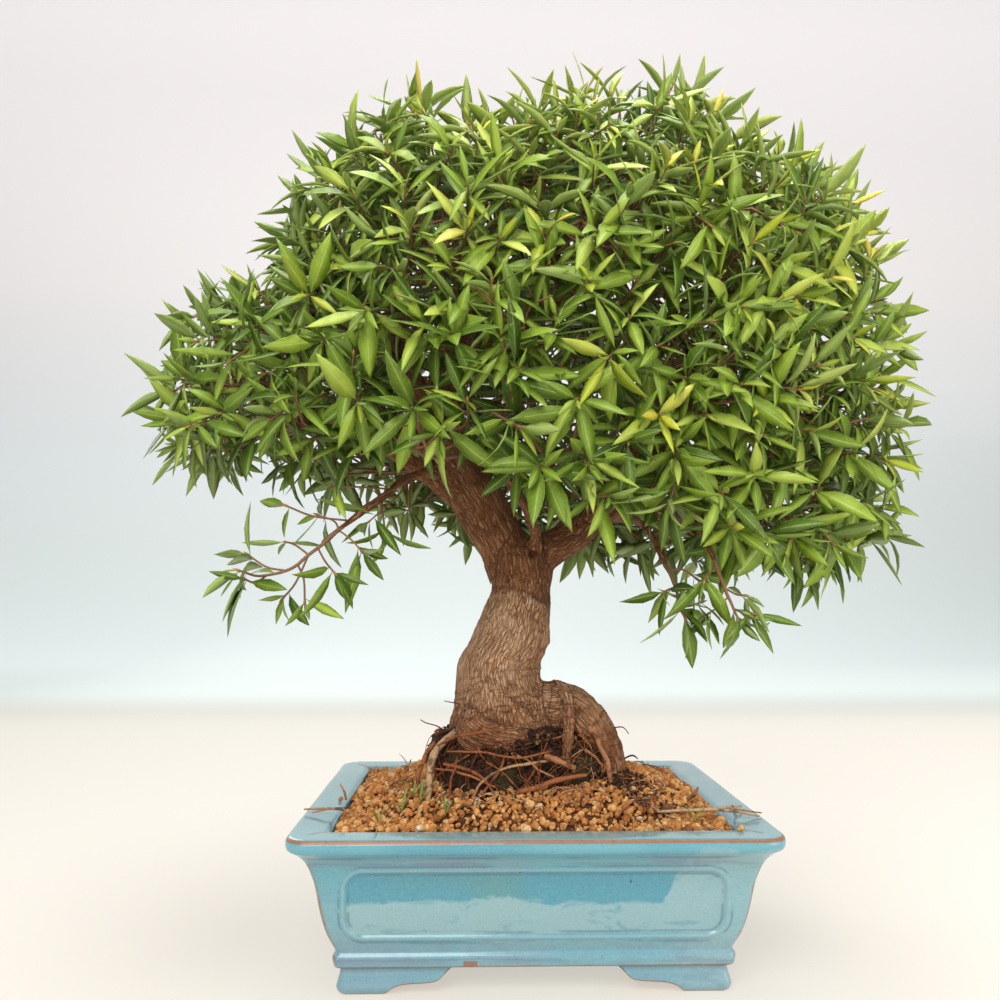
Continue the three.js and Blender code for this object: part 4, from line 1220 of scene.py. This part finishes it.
def blades(shape, base, along, face, length, slimness, droop, values, twist=0.0, fold=0.25):
    """Adds leaves. slimness is width over length, droop how far a leaf arches back, in radians."""
    count = len(base)
    length, slimness, droop, twist, fold = (
        np.broadcast_to(np.asarray(v, float), count)[:, None] for v in (length, slimness, droop, twist, fold)
    )
    across = unit(np.cross(along, face))
    normal = np.cross(across, along)
    t = np.concatenate([LEAF_STATIONS, [0.0, 1.0]])[None]
    width = length * slimness / 2 * np.concatenate([LEAF_WIDTHS, [0.0, 0.0]])
    droop = np.where(np.abs(droop) < 1e-3, 1e-3, droop)
    ahead = length * np.sin(droop * t) / droop
    down = length * (1 - np.cos(droop * t)) / droop
    spine = base[:, None] + column(ahead) * along[:, None] - column(down) * normal[:, None]
    up = at_angle(droop * t, normal[:, None], along[:, None])
    side = at_angle(twist * t, across[:, None], up)
    up = at_angle(twist * t, up, -across[:, None])
    parts = []
    for v in LEAF_ACROSS:
        lift = fold * width * abs(v) + LEAF_THICKNESS * 0.4 * (1 - abs(v))
        parts.append(spine + side * column(v * width) + up * column(lift))
    parts.append(spine - up * LEAF_THICKNESS * 0.6)
    rows = len(LEAF_STATIONS)
    body = np.stack(parts, 2)[:, :rows].reshape(count, -1, 3)
    points = np.concatenate([body, spine[:, rows:]], 1)
    each = points.shape[1]
    offsets = (np.arange(count) * each)[:, None, None]
    spread = {
        "leaf_along": np.tile(np.append(np.repeat(LEAF_STATIONS, 4), [0, 1]), count),
        "leaf_across": np.tile(np.append(np.tile(np.append(LEAF_ACROSS, 0), rows), [0, 0]), count),
        "leaf_under": np.tile(np.append(np.tile([0.5, 0, 0.5, 1], rows), [0.5, 0.5]), count),
    }
    for name, value in values.items():
        spread[name] = np.repeat(np.broadcast_to(np.asarray(value, float), count), each)
    shape.add(points.reshape(-1, 3), [(LEAF_TRIS[None] + offsets).reshape(-1, 3)], **spread)


def whorl(shape, stem, draw, number, young, tone, reach, hang):
    """Leaves round the last stretch of a stem, the youngest and steepest at its tip, and the bud."""
    order = np.arange(number)
    tip = stem[-1]
    axis = unit(stem[-1] - stem[-2])
    side = unit(np.cross(axis, UP + [0.31, 0.17, 0.0]))
    over = np.cross(axis, side)
    turn = order * GOLDEN_TURN + draw.uniform(0, TURN) + draw.normal(0, 0.25, number)
    spread = 26 + 58 * (order / max(number - 1, 1)) ** 0.7 + draw.normal(0, 10, number)
    spread = np.radians(np.clip(spread, 10, 105))
    radial = at_angle(turn, side, over)
    along = unit(at_angle(spread, axis, radial) - UP * column(draw.normal(hang, 0.12, number)))
    face = at_angle(spread, -radial, axis) + UP * 0.6
    face = unit(face + draw.normal(0, 0.25, (number, 3)))
    lengths = np.interp(order, [0, 1, 3, 20], [0.5, 0.75, 1.0, 1.02]) * draw.uniform(23, 41, number) * reach
    back = np.clip(order - 1, 0, 99) * draw.uniform(1.2, 2.4)
    run = np.linalg.norm(np.diff(stem, axis=0), axis=1)
    from_tip = np.append(np.cumsum(run[::-1])[::-1], 0)
    base = np.column_stack([np.interp(-back, -from_tip, stem[:, i]) for i in range(3)])
    values = {
        "leaf_tone": np.clip(tone + draw.normal(0, 0.16, number), 0, 1),
        "leaf_young": np.interp(order, [0, 2, 5, 9], [1.0, 0.6, 0.2, 0.0]) * young,
    }
    slimness, droop = draw.uniform(0.16, 0.29, number), draw.normal(0.35, 0.35, number)
    twist, fold = draw.normal(0, 0.45, number), draw.uniform(0.1, 0.6, number)
    blades(shape, base, along, face, lengths, slimness, droop, values, twist, fold)
    bud = np.array([tip - axis * 0.5, tip + axis * 1.4, tip + axis * 3.8])
    shape.bar(bud, 4, [0.8, 0.8, 0.15], wears=1, tone=draw.uniform(0.4, 1.0))


# Crown: shoots all over the shell that the foliage nodes make up


CROWN_MIDDLE = np.array([2.0, 0.0, 380.0])
CROWN_HALF_DEPTH = 122
# The dome seen from the front: degrees from the right over the top, and the reach from its middle
CROWN_TURNS = [-90, -60, -30, *range(-15, 211, 15), 240, 270]
CROWN_REACH = [
    260, 258, 258, 238, 228, 224, 222, 185, 197, 166, 145, 140, 166, 158, 168, 152, 217, 236, 232, 246, 260,
]
# The box in which tips for shoots are tried, where it ends at the right and the top, and how many
CROWN_BOX = ([-270, -165, 225], [270, 165, 575])
CROWN_RIGHT = 236
CROWN_TOP = 552
CROWN_TRIES = 28000
# The height of the lowest shoots' tips along the crown, and of the lowest twigs' start on the limbs
CROWN_FOOT = ([-250, -70, 0, 90, 200, 250], [312, 306, 280, 248, 238, 250])
LOWEST_TWIG = 262
# A node's twig: its least length, how deep under the node's middle it forks, and its leafless side twigs
TWIG_LENGTH = 50
FORK_DEPTH = 22
BARE_TWIGS = 8
# Layers of shoots: how far out their tips lie, from and to, their spacing, leaves and tone, which is darker deeper in
# the crown as painted shade
LAYERS = [
    (0, 12, 19, (8, 13), 0.55),
    (-27, -12, 23, (7, 11), 0.38),
    (-60, -40, 34, (5, 8), 0.25),
]


def out_of_crown(points):
    """How far points lie out from the dome that the foliage nodes' middles sit on, and the way out."""
    spot = points - CROWN_MIDDLE
    turn = np.degrees(np.arctan2(spot[:, 2], spot[:, 0]))
    reach = np.interp(np.where(turn < -90, turn + 360, turn), CROWN_TURNS, CROWN_REACH)
    ratio = np.hypot(np.hypot(spot[:, 0], spot[:, 2]) / reach, spot[:, 1] / CROWN_HALF_DEPTH)
    way = spot / np.column_stack([reach, np.full(len(spot), CROWN_HALF_DEPTH), reach]) ** 2
    way[:, 2] *= np.where(spot[:, 2] < 0, 0.4, 1)
    return np.linalg.norm(spot, axis=1) * (1 - 1 / np.maximum(ratio, 0.05)), unit(way)


def shoot_tips(draw, low, high, spacing):
    """Tips for shoots that far out from the dome, with no two closer than the spacing."""
    tries = draw.uniform(*CROWN_BOX, (CROWN_TRIES, 3))
    out, way = out_of_crown(tries)
    surface = 10 - 8 * way[:, 1] ** 2 + 8 * noise(tries * 0.012, 51) + 6 * noise(tries * 0.03, 52)
    foot = np.interp(tries[:, 0], *CROWN_FOOT) + 7 * noise(tries * 0.02, 53)
    foot -= 40 * smoothstep(tries[:, 1], 10, 45) * bell(tries[:, 0], -45, 70)
    good = (out > surface + low) & (out < surface + high) & (tries[:, 2] > foot)
    good &= (tries[:, 0] < CROWN_RIGHT) & (tries[:, 2] < CROWN_TOP)
    tries = tries[good]
    kept = np.empty((0, 3))
    for spot in tries:
        if not len(kept) or np.min(((kept - spot) ** 2).sum(1)) > spacing**2:
            kept = np.vstack([kept, spot])
    return kept


def limb_for(place, spots):
    """The spot of a limb that a node's twig grows from, and the twig's radius there."""
    away = np.linalg.norm(spots[:, :3] - place, axis=1)
    cost = away + 1.2 * np.maximum(0, spots[:, 2] - place[2] + 25)
    cost[away < TWIG_LENGTH] = 1e9
    best = np.argmin(cost)
    return spots[best, :3], min(spots[best, 3] * 0.7, 2 + away[best] * 0.02)


def spray(name, middle, shoots, leaf, twig, draw, limb_spots):
    """The finer foliage of one node: a twig from the wood, and shoots off it with their leaves."""
    shape = Shape()
    start, thick = limb_for(middle, limb_spots)
    _, outward = out_of_crown(middle[None])
    fork = middle - outward[0] * FORK_DEPTH
    bend = (start + fork) / 2 + draw.normal(0, 5, 3)
    main = curve([(*start, thick), (*bend, thick * 0.75), (*fork, 1.7)], 12)
    shape.bar(main, 7, wears=1, tone=0.1)
    # Painted light: leaves lighter towards the top and the right of the crown
    sunny = np.clip((middle[2] - 320) / 230 + middle[0] / 500, 0, 1)
    for tip, way, (fewest, most), tone in shoots:
        root = main[draw.integers(6, 13), :3]
        climb = np.interp(tip[2], [260, 330, 520], [-0.35, 0.05, 0.3])
        last = unit(way + draw.normal(0, 0.38, 3) + UP * climb)
        knee = tip - last * min(26, 0.45 * np.linalg.norm(tip - root)) + draw.normal(0, 1.5, 3)
        stem = curve([root, (root + knee) / 2 + draw.normal(0, 4, 3), knee, tip], 9)
        shape.bar(stem, 3, np.linspace(1.15, 0.6, 10), wears=1, tone=draw.uniform(0.1, 0.7))
        lit = tone + 0.16 * sunny + draw.normal(0, 0.08)
        young = float(np.clip(draw.normal(0.08 + 0.75 * sunny, 0.28), 0, 1)) * (tone > 0.5)
        hang = np.interp(tip[2], [250, 330, 450], [0.4, 0.2, 0.0])
        whorl(shape, stem, draw, int(draw.integers(fewest, most + 1)), young, lit, 1.0, hang)
    for _ in range(BARE_TWIGS):
        root = main[draw.integers(3, 13), :3]
        end = root + unit(draw.normal(0, 1, 3) + outward[0] * 0.6) * draw.uniform(20, 46)
        if end[2] < np.interp(end[0], *CROWN_FOOT):
            continue
        bare = curve([root, (root + end) / 2 + draw.normal(0, 5, 3), end], 7)
        shape.bar(bare, 3, np.linspace(1.1, 0.45, 8), wears=1, tone=draw.uniform(0, 0.5))
    piece("leaves_" + name.split("_")[1], shape, [leaf, twig], [name], LEAF_NAMES)


# Hanging shoots: the stem as stations, then the twigs off it, each by its share of the stem and its end
HANGING = {
    "hanging_shoot_left": (
        [
            (-74, -32, 291), (-97, -59, 271), (-118, -82, 248), (-128, -87, 238),
            (-140, -90, 229), (-154, -91, 226), (-166, -91, 229),
        ],
        [
            (0.33, (-98, -92, 240)), (0.5, (-140, -95, 214)), (0.6, (-128, -96, 212)),
            (0.7, (-163, -84, 238)), (0.8, (-161, -96, 224)), (0.5, (-144, -76, 246)),
            (0.42, (-112, -98, 228)), (0.04, (-97, -68, 259)), (0.16, (-88, -62, 252)),
            (0.25, (-142, -86, 266)), (0.12, (-120, -70, 280)), (0.3, (-126, -72, 262)),
        ],
    ),
    "hanging_shoot_right": (
        [(96, -88, 252), (101, -94, 234), (105, -97, 220), (108, -99, 211), (111, -100, 204)],
        [(0.3, (92, -104, 224)), (0.5, (118, -92, 216)), (0.65, (98, -90, 206)), (0.85, (118, -104, 206))],
    ),
    "hanging_shoot_middle": (
        [(76, -62, 246), (79, -72, 233), (82, -78, 220), (84, -81, 209), (86, -83, 203)],
        [(0.3, (94, -78, 226)), (0.5, (74, -84, 218)), (0.7, (95, -84, 212))],
    ),
}


def hanging_shoot(name, stations, twigs, leaf, twig, draw):
    """A thin shoot with twigs off it and leaves at the end of each."""
    shape = Shape()
    stem = wander(stations, draw, 1.2, 24)
    shape.bar(stem, 6, np.linspace(1.4, 0.7, len(stem)), wears=1, tone=0.3)
    for share, end in twigs:
        root = stem[int(share * (len(stem) - 1))]
        short = curve([root, (root + end) / 2 + draw.normal(0, 1.5, 3), end], 8)
        shape.bar(short, 4, 0.6, wears=1, tone=draw.uniform(0.2, 0.6))
        whorl(shape, short, draw, int(draw.integers(3, 6)), 0.15, 0.45, 0.95, 0.5)
    whorl(shape, stem[::3], draw, 6, 0.2, 0.5, 0.95, 0.5)
    piece(name + "_leaves", shape, [leaf, twig], [name], LEAF_NAMES)


def make_foliage(leaf, twig):
    draw = np.random.default_rng(2024)
    spots = np.concatenate([curve(stations, 24)[8:] for name, stations in LIMBS.items() if name != "low"])
    spots = spots[spots[:, 2] > LOWEST_TWIG]
    names = sorted(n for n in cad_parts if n.startswith("foliage_"))
    middles = []
    for name in names:
        points = np.array([v.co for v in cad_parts[name].data.vertices]) / MM
        middles.append((points.min(0) + points.max(0)) / 2)
    middles = np.array(middles)
    shoots = {name: [] for name in names}
    for low, high, spacing, leaves, tone in LAYERS:
        tips = shoot_tips(draw, low, high, spacing * (1))
        _, ways = out_of_crown(tips)
        nearest = np.argmin(np.linalg.norm(tips[:, None] - middles[None], axis=2), axis=1)
        for tip, way, owner in zip(tips, ways, nearest):
            shoots[names[owner]].append((tip, way, leaves, tone))
    for name, middle in zip(names, middles):
        spray(name, middle, shoots[name], leaf, twig, draw, spots)
    for name, (stations, twigs) in HANGING.items():
        hanging_shoot(name, stations, twigs, leaf, twig, draw)


# Wood: the trunk, the knee and strap roots and the limbs, fused and given bark


# The trunk's outline by height: left, right, front and back
TRUNK = [
    (98, -49, 30, -40, 29),
    (126, -51, 21, -43, 29),
    (148, -46.5, 13, -36, 26),
    (161, -46, 8, -31, 25),
    (174, -44.5, 9, -28, 24),
    (187, -37, 15, -26, 24),
    (200, -31, 16, -24, 23),
    (213, -26, 17, -21, 21),
    (221, -24, 17, -19, 19),
    (229, -26, 18, -20, 21),
    (241, -30, 18, -20, 20),
    (253, -29, 12, -15, 16),
]
TRUNK_STEPS = 60
KNEE = [
    (-8, -6, 140, 19),
    (18, -8, 140, 20),
    (31, -10, 134, 20.5),
    (39, -11, 122, 20),
    (43, -12, 108, 20),
    (44, -12, 92, 18),
]
# The trunk's lowest bulge, over the edge of the root ball
TOE = [
    (-30, -18, 142, 12),
    (-32, -31, 131, 13.5),
    (-20, -36, 127, 12),
    (-4, -36, 127, 9),
]
STRAP = [
    (14, 6, 152, 2.6),
    (20, -9, 158.8, 3.2),
    (24, -27, 152.5, 3.6),
    (24, -36, 138, 3.4),
    (22, -44, 120, 3.4),
    (20, -52, 100, 3),
]
LIMBS = {
    "leader": [
        (-7, 0, 230, 18),
        (-19, -1, 254, 16.5),
        (-30, -2, 272, 17.5),
        (-43, -3, 292, 17.5),
        (-54, -3, 316, 15),
        (-58, -2, 348, 12.5),
        (-50, 0, 388, 10),
        (-32, 2, 428, 7.5),
        (-14, 2, 464, 5),
    ],
    "right": [
        (0, 0, 234, 12),
        (16, -1, 248, 11.5),
        (30, -1, 257, 10.5),
        (46, 0, 267, 9.5),
        (78, 3, 288, 8.5),
        (116, 6, 314, 7),
        (146, 6, 346, 5),
    ],
    "centre": [(2, -6, 240, 4), (4, -22, 252, 3.6), (-3, -42, 271, 3), (-14, -62, 288, 2.6), (-22, -80, 300, 2.4)],
    "left": [(-44, -3, 284, 12), (-66, -6, 300, 9.5), (-98, -10, 318, 8), (-134, -12, 336, 6)],
    "front_left": [(-48, -4, 300, 9), (-60, -26, 320, 7.5), (-72, -50, 342, 6), (-82, -66, 364, 4.5)],
    "back": [(-34, 2, 276, 9), (-32, 24, 298, 8), (-30, 46, 322, 6.5), (-30, 64, 350, 5)],
    "back_right": [(26, 2, 254, 8), (46, 22, 276, 7.5), (70, 44, 304, 6), (94, 60, 336, 4.5)],
    "front_right": [(40, 0, 264, 7.5), (58, -24, 284, 6.5), (78, -48, 306, 5.5), (96, -62, 334, 4.2)],
    "upper_right": [(-56, -2, 356, 8.5), (-22, -6, 388, 7), (22, -8, 418, 6), (66, -6, 446, 4.5)],
    "back_left": [(-56, -2, 330, 8), (-74, 28, 362, 6.5), (-92, 56, 396, 5)],
    "low": [(-54, -6, 302, 4.2), (-76, -34, 290, 3), (-98, -60, 270, 2.5), (-114, -78, 254, 2.2), (-122, -84, 246, 2)],
}
# Thin limbs that end in the hanging shoots
SIDE_LIMBS = {
    "hanging_right": [(78, -48, 306, 3.4), (88, -72, 282, 2.8), (96, -88, 252, 2.4), (101, -94, 234, 2)],
    "hanging_middle": [(58, -24, 284, 3.2), (68, -46, 266, 2.6), (76, -62, 246, 2.2), (79, -72, 233, 2)],
}
# Creases across the trunk, as points x, y, z on its front
CREASES = [
    [(-26, -14, 215), (-18, -20, 218.5), (-8, -21, 219), (4, -20, 215.5), (15, -12, 209)],
    [(-30, -18, 198), (-22, -22, 204), (-11, -24, 208), (0, -23, 204), (8, -20, 198)],
    [(4, -26, 172), (8, -20, 178), (12, -8, 182)],
    [(-10, -34, 152), (0, -32, 146), (8, -30, 138)],
]
# The grid that the wood is fused on, and the thinnest radius that it keeps
VOXEL = 1.28
THINNEST_LIMB = 1.5
# Knobs with a hollow middle: x, y, z, radius, height
KNOBS = [(2, -21, 243, 7, 3.2), (-13, -19.5, 226, 5.4, 3.0), (-42, -26, 168, 3.5, 0.8), (-20, -30, 158, 3, 0.7)]


def trunk_column():
    """The trunk's own column as a smooth loft."""
    sides = 64
    turn = ring_turns(sides)
    rings = []
    for i, (z, left, right, front, back) in enumerate(curve(TRUNK, TRUNK_STEPS)):
        level = i / TRUNK_STEPS * (len(TRUNK) - 1)
        fold = 1 + 0.035 * np.sin(4 * turn + 0.7 * level)
        x = (left + right) / 2 + (right - left) / 2 * fold * np.cos(turn)
        y = (front + back) / 2 + (back - front) / 2 * fold * np.sin(turn)
        rings.append(np.column_stack([x, y, np.full(sides, z)]))
    return closed(rings, rings[0].mean(0), rings[-1].mean(0))


def wood_bars():
    """Every bar of wood as smooth stations x, y, z, radius."""
    bars = {"knee": curve(KNEE, 40), "strap": curve(STRAP, 40), "toe": curve(TOE, 24)}
    for name, stations in {**LIMBS, **SIDE_LIMBS}.items():
        bars[name] = knotted(curve(stations, 12 * (len(stations) - 1)))
    return bars


def knotted(path):
    """A limb's path with sway and knots, so that it isn't a plain bar."""
    knots = 1 + 0.09 * noise(path[:, :3] * 0.07, 4) + 0.05 * noise(path[:, :3] * 0.2, 5)
    sway = np.column_stack([noise(path[:, :3] * 0.035, 6 + i) for i in range(3)])
    fade = smoothstep(np.arange(len(path)), 4, 14)
    moved = path.copy()
    moved[:, :3] += sway * column(3.0 * fade)
    moved[:, 3] *= knots
    return moved


def grain_lines(bars):
    """Lines that the bark's fibres follow, as point, direction, side, distance along and radius."""
    rows = []
    z, left, right, front, back = curve(TRUNK, TRUNK_STEPS).T
    column_path = np.column_stack([(left + right) / 2, (front + back) / 2, z])
    widths = (right - left + back - front) / 4
    for path, radii in [(column_path, widths)] + [(b[:, :3], b[:, 3]) for b in bars.values()]:
        along, side, over = frames(path)
        run = np.append(0, np.cumsum(np.linalg.norm(np.diff(path, axis=0), axis=1))) + len(rows) * 0.37
        rows.append(np.column_stack([path, along, side, over, run, radii]))
    return np.concatenate(rows)


def fibre_places(points, lines):
    """Each point's place in the fibres: along the nearest line and in its two cross directions."""
    places = np.empty((len(points), 3))
    for start in range(0, len(points), 4000):
        some = points[start : start + 4000]
        gap = np.linalg.norm(some[:, None] - lines[None, :, :3], axis=2) - lines[None, :, 13]
        near = lines[np.argmin(gap, axis=1)]
        offset = some - near[:, :3]
        along = (offset * near[:, 3:6]).sum(1) + near[:, 12]
        across = (offset * near[:, 6:9]).sum(1)
        over = (offset * near[:, 9:12]).sum(1)
        places[start : start + 4000] = np.column_stack([along, across, over])
    return places


def near_line(points, stations):
    """The distance from each point to a line through the stations."""
    gaps = [np.linalg.norm(points - spot, axis=1) for spot in curve(stations, 24)]
    return np.minimum.reduce(gaps)


def bark_relief(points, fibres):
    """How far the bark stands out at each point, and the painted shade there in creases and knobs' hollows."""
    warp = column(noise(fibres * [0.05, 0.1, 0.1], 21)) * [0, 2.2, 2.2]
    low = np.clip((points[:, 2] - 95) / 170, 0, 1)
    strength = np.interp(points[:, 2], [95, 150, 235, 300, 420], [1.15, 1.0, 0.9, 0.55, 0.3])
    ropes = noise((fibres + warp) * [0.03, 0.17, 0.17], 22)
    fibre = noise((fibres + warp) * [0.055, 0.42, 0.42], 23)
    fissure = (1 - np.abs(noise((fibres + warp) * [0.06, 0.5, 0.5], 24))) ** 5
    wrinkle = noise(fibres * [0.42, 0.09, 0.09] + 3.3, 25)
    lumps = noise(points * 0.035, 26)
    height = 1.2 * lumps + 0.75 * ropes + 0.4 * fibre - 0.75 * fissure + 0.45 * wrinkle * (1.2 - low)
    height *= strength
    pit_shade = np.zeros(len(points))
    for crease in CREASES:
        gap = near_line(points, crease)
        height += -1.9 * bell(gap, 0, 1.7) + 0.7 * bell(gap, 4, 2.2)
        pit_shade = np.maximum(pit_shade, 0.8 * bell(gap, 0, 1.2))
    for x, y, z, radius, rise in KNOBS:
        gap = np.linalg.norm(points - [x, y, z], axis=1)
        hollow = bell(gap, 0, radius * 0.42)
        height += rise * bell(gap, radius * 0.62, radius * 0.4)
        height -= rise * 1.1 * hollow
        pit_shade = np.maximum(pit_shade, hollow)
    return height, np.clip(pit_shade, 0, 1)


def make_wood(bark):
    """The tree's own wood: bars and column fused on a fine grid, then smoothed and given bark."""
    shape = Shape()
    shape.add(*trunk_column())
    bars = wood_bars()
    for path in bars.values():
        shape.bar(path, 24 if path[0, 3] > 6 else 14, np.maximum(path[:, 3], THINNEST_LIMB))
    wood = linked("trunk_and_limbs", mesh_of("trunk_and_limbs", shape))
    remesh = wood.modifiers.new("fuse", "REMESH")
    remesh.mode = "VOXEL"
    remesh.voxel_size = VOXEL * MM
    melt = wood.modifiers.new("melt", "SMOOTH")
    melt.factor = 0.5
    melt.iterations = 6
    apply_modifiers(wood)
    mesh = wood.data
    points = np.empty(len(mesh.vertices) * 3)
    mesh.vertices.foreach_get("co", points)
    normals = np.empty(len(mesh.vertices) * 3, np.float32)
    mesh.vertex_normals.foreach_get("vector", normals)
    points = points.reshape(-1, 3) / MM
    fibres = fibre_places(points, grain_lines(bars))
    height, pit_shade = bark_relief(points, fibres)
    points = points + normals.reshape(-1, 3) * column(height)
    mesh.vertices.foreach_set("co", (points * MM).astype(np.float32).ravel())
    grain = mesh.attributes.new("grain", "FLOAT_VECTOR", "POINT")
    grain.data.foreach_set("vector", fibres.astype(np.float32).ravel())
    set_value(mesh, "pit_shade", pit_shade)
    mesh.materials.clear()
    mesh.materials.append(bark)
    mesh.shade_smooth()
    mesh.update()
    dress(wood, ["trunk"])


# Floor, light and camera


CAMERA_PLACE = (-33.6, -564.4, 215.3)
CAMERA_YAW = 1.6
CAMERA_PITCH = 6.53
CAMERA_ROLL = 0.17
CAMERA_LENS = 30.19
CAMERA_SENSOR = 36
# The floor, its bend up into the wall and the wall, in metres
BEND_START = 1.3
BEND = 0.6
FLOOR_FRONT = -3.0
FLOOR_HALF_WIDTH = 3.5
WALL_TOP = 3.2
# How strongly the wall glows, by half its height in metres
WALL_GLOW = [
    (0.0, 0.31), (0.05, 0.235), (0.1, 0.195), (0.19, 0.155),
    (0.33, 0.135), (0.5, 0.19), (0.7, 0.28), (1.0, 0.39),
]
# Disks of light: name, place, what they face, size, power and colour
LAMPS = [
    ("key", (-0.6, -1.6, 1.5), (0, 0, 0.3), 1.5, 35, (1.0, 0.97, 0.93)),
    ("fill", (1.4, -1.0, 0.6), (0, 0, 0.2), 1.6, 14, (1.0, 0.97, 0.93)),
    ("top", (0.1, 0.0, 1.7), (0, 0, 0.3), 1.2, 24, (1, 1, 1)),
    ("behind", (-0.9, 1.1, 0.9), (0, 0, 0.35), 0.9, 5, (1, 1, 1)),
]


def make_camera():
    yaw, pitch, roll = (math.radians(a) for a in (CAMERA_YAW, CAMERA_PITCH, CAMERA_ROLL))
    forward = Vector((math.sin(yaw) * math.cos(pitch), math.cos(yaw) * math.cos(pitch), math.sin(pitch)))
    level = Vector((math.cos(yaw), -math.sin(yaw), 0))
    upright = level.cross(forward)
    right = level * math.cos(roll) + upright * math.sin(roll)
    up = -level * math.sin(roll) + upright * math.cos(roll)
    camera = linked("camera", bpy.data.cameras.new("camera"))
    camera.data.sensor_width = CAMERA_SENSOR
    camera.data.lens = CAMERA_LENS
    camera.data.clip_start = 0.01
    camera.data.clip_end = 30
    turn = Matrix((right, up, -forward)).transposed().to_4x4()
    camera.matrix_world = Matrix.Translation(Vector(CAMERA_PLACE) * MM) @ turn
    bpy.context.scene.camera = camera


def stage_material():
    """A warm pale floor and a cooler wall. Both glow a little, by amounts that even out the light."""
    look = Look("pale_backdrop", Roughness=0.9, Specular_IOR_Level=0.1)
    x, y, height = (look.along(axis) for axis in "XYZ")
    half = height * 0.5
    far = y.band(0.75, 1.35)
    on_wall = height.band(0.0, 0.06)
    wall = height.band(0.0, 2.0).ramp((0.015, "c4cbc8"), (0.25, "ced3d4"), (0.65, "dad6d6"))
    floor = look.mix(y.band(0.97, 1.4), "999791", "c4cbc8")
    wall_glow = half.ramp((0.08, (0.9, 0.99, 1, 1)), (0.3, (0.96, 0.98, 1, 1)), (0.5, (1, 0.96, 0.96, 1)))
    floor_glow = look.mix(far, (1, 0.925, 0.825, 1), (0.93, 1, 0.94, 1))
    strength = half.ramp(*[(stop, (value, value, value, 1)) for stop, value in WALL_GLOW])
    slope = height.band(0.0, 0.06, 0.04, -0.03) + height.band(0.5, 0.9, 0.0, 0.03)
    slope = slope + far.band(0.0, 1.0, 0.06, 0.0)
    near = far.band(0.0, 1.0, 0.18, 0.0) + y.band(-0.15, 0.25, 0.06, 0.0)
    return look.finish(
        Base_Color=look.mix(on_wall, floor, wall),
        Emission_Color=look.mix(on_wall, floor_glow, wall_glow),
        Emission_Strength=strength + x * slope + near,
    )


def make_stage():
    """A pale floor that curves up into a plain backdrop, and soft lamps under a pale sky."""
    bends = np.linspace(0.02, math.pi / 2, 60)
    bend = [(BEND_START + BEND * math.sin(a), BEND - BEND * math.cos(a)) for a in bends]
    profile = [(FLOOR_FRONT, 0.0), (BEND_START, 0.0), *bend, (BEND_START + BEND, WALL_TOP)]
    rows = [[(-FLOOR_HALF_WIDTH, y, z), (FLOOR_HALF_WIDTH, y, z)] for y, z in profile]
    shape = Shape()
    shape.add(np.array(rows).reshape(-1, 3) / MM, [lattice(len(profile), 2, closed=False)])
    mesh = mesh_of("floor_and_backdrop", shape)
    mesh.materials.append(stage_material())
    linked("floor_and_backdrop", mesh)
    world = bpy.data.worlds.new("studio")
    world.use_nodes = True
    background = world.node_tree.nodes["Background"]
    background.inputs["Color"].default_value = (0.86, 0.9, 0.95, 1)
    background.inputs["Strength"].default_value = 0.45
    bpy.context.scene.world = world
    for name, place, towards, size, power, colour in LAMPS:
        light = bpy.data.lights.new(name, "AREA")
        light.shape = "DISK"
        light.size = size
        light.energy = power
        light.color = colour
        lamp = linked(name, light)
        lamp.location = place
        lamp.rotation_mode = "QUATERNION"
        lamp.rotation_quaternion = (Vector(towards) - Vector(place)).to_track_quat("-Z", "Y")
    bpy.context.scene.view_settings.view_transform = "Standard"


def show_screens(plastic):
    """The drain screens keep their own solids and get a better material."""
    for name in ("drain_screen_left", "drain_screen_right"):
        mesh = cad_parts[name].data
        mesh.materials.clear()
        mesh.materials.append(plastic)


make_camera()
make_stage()
root_look = root_material()
make_pot(glaze_material())
show_screens(screen_material())
make_soil(grain_material())
make_root_ball(peat_material())
make_roots(root_look)
make_litter(root_look, weed_material())
make_wood(bark_material())
make_foliage(leaf_material(), twig_material())
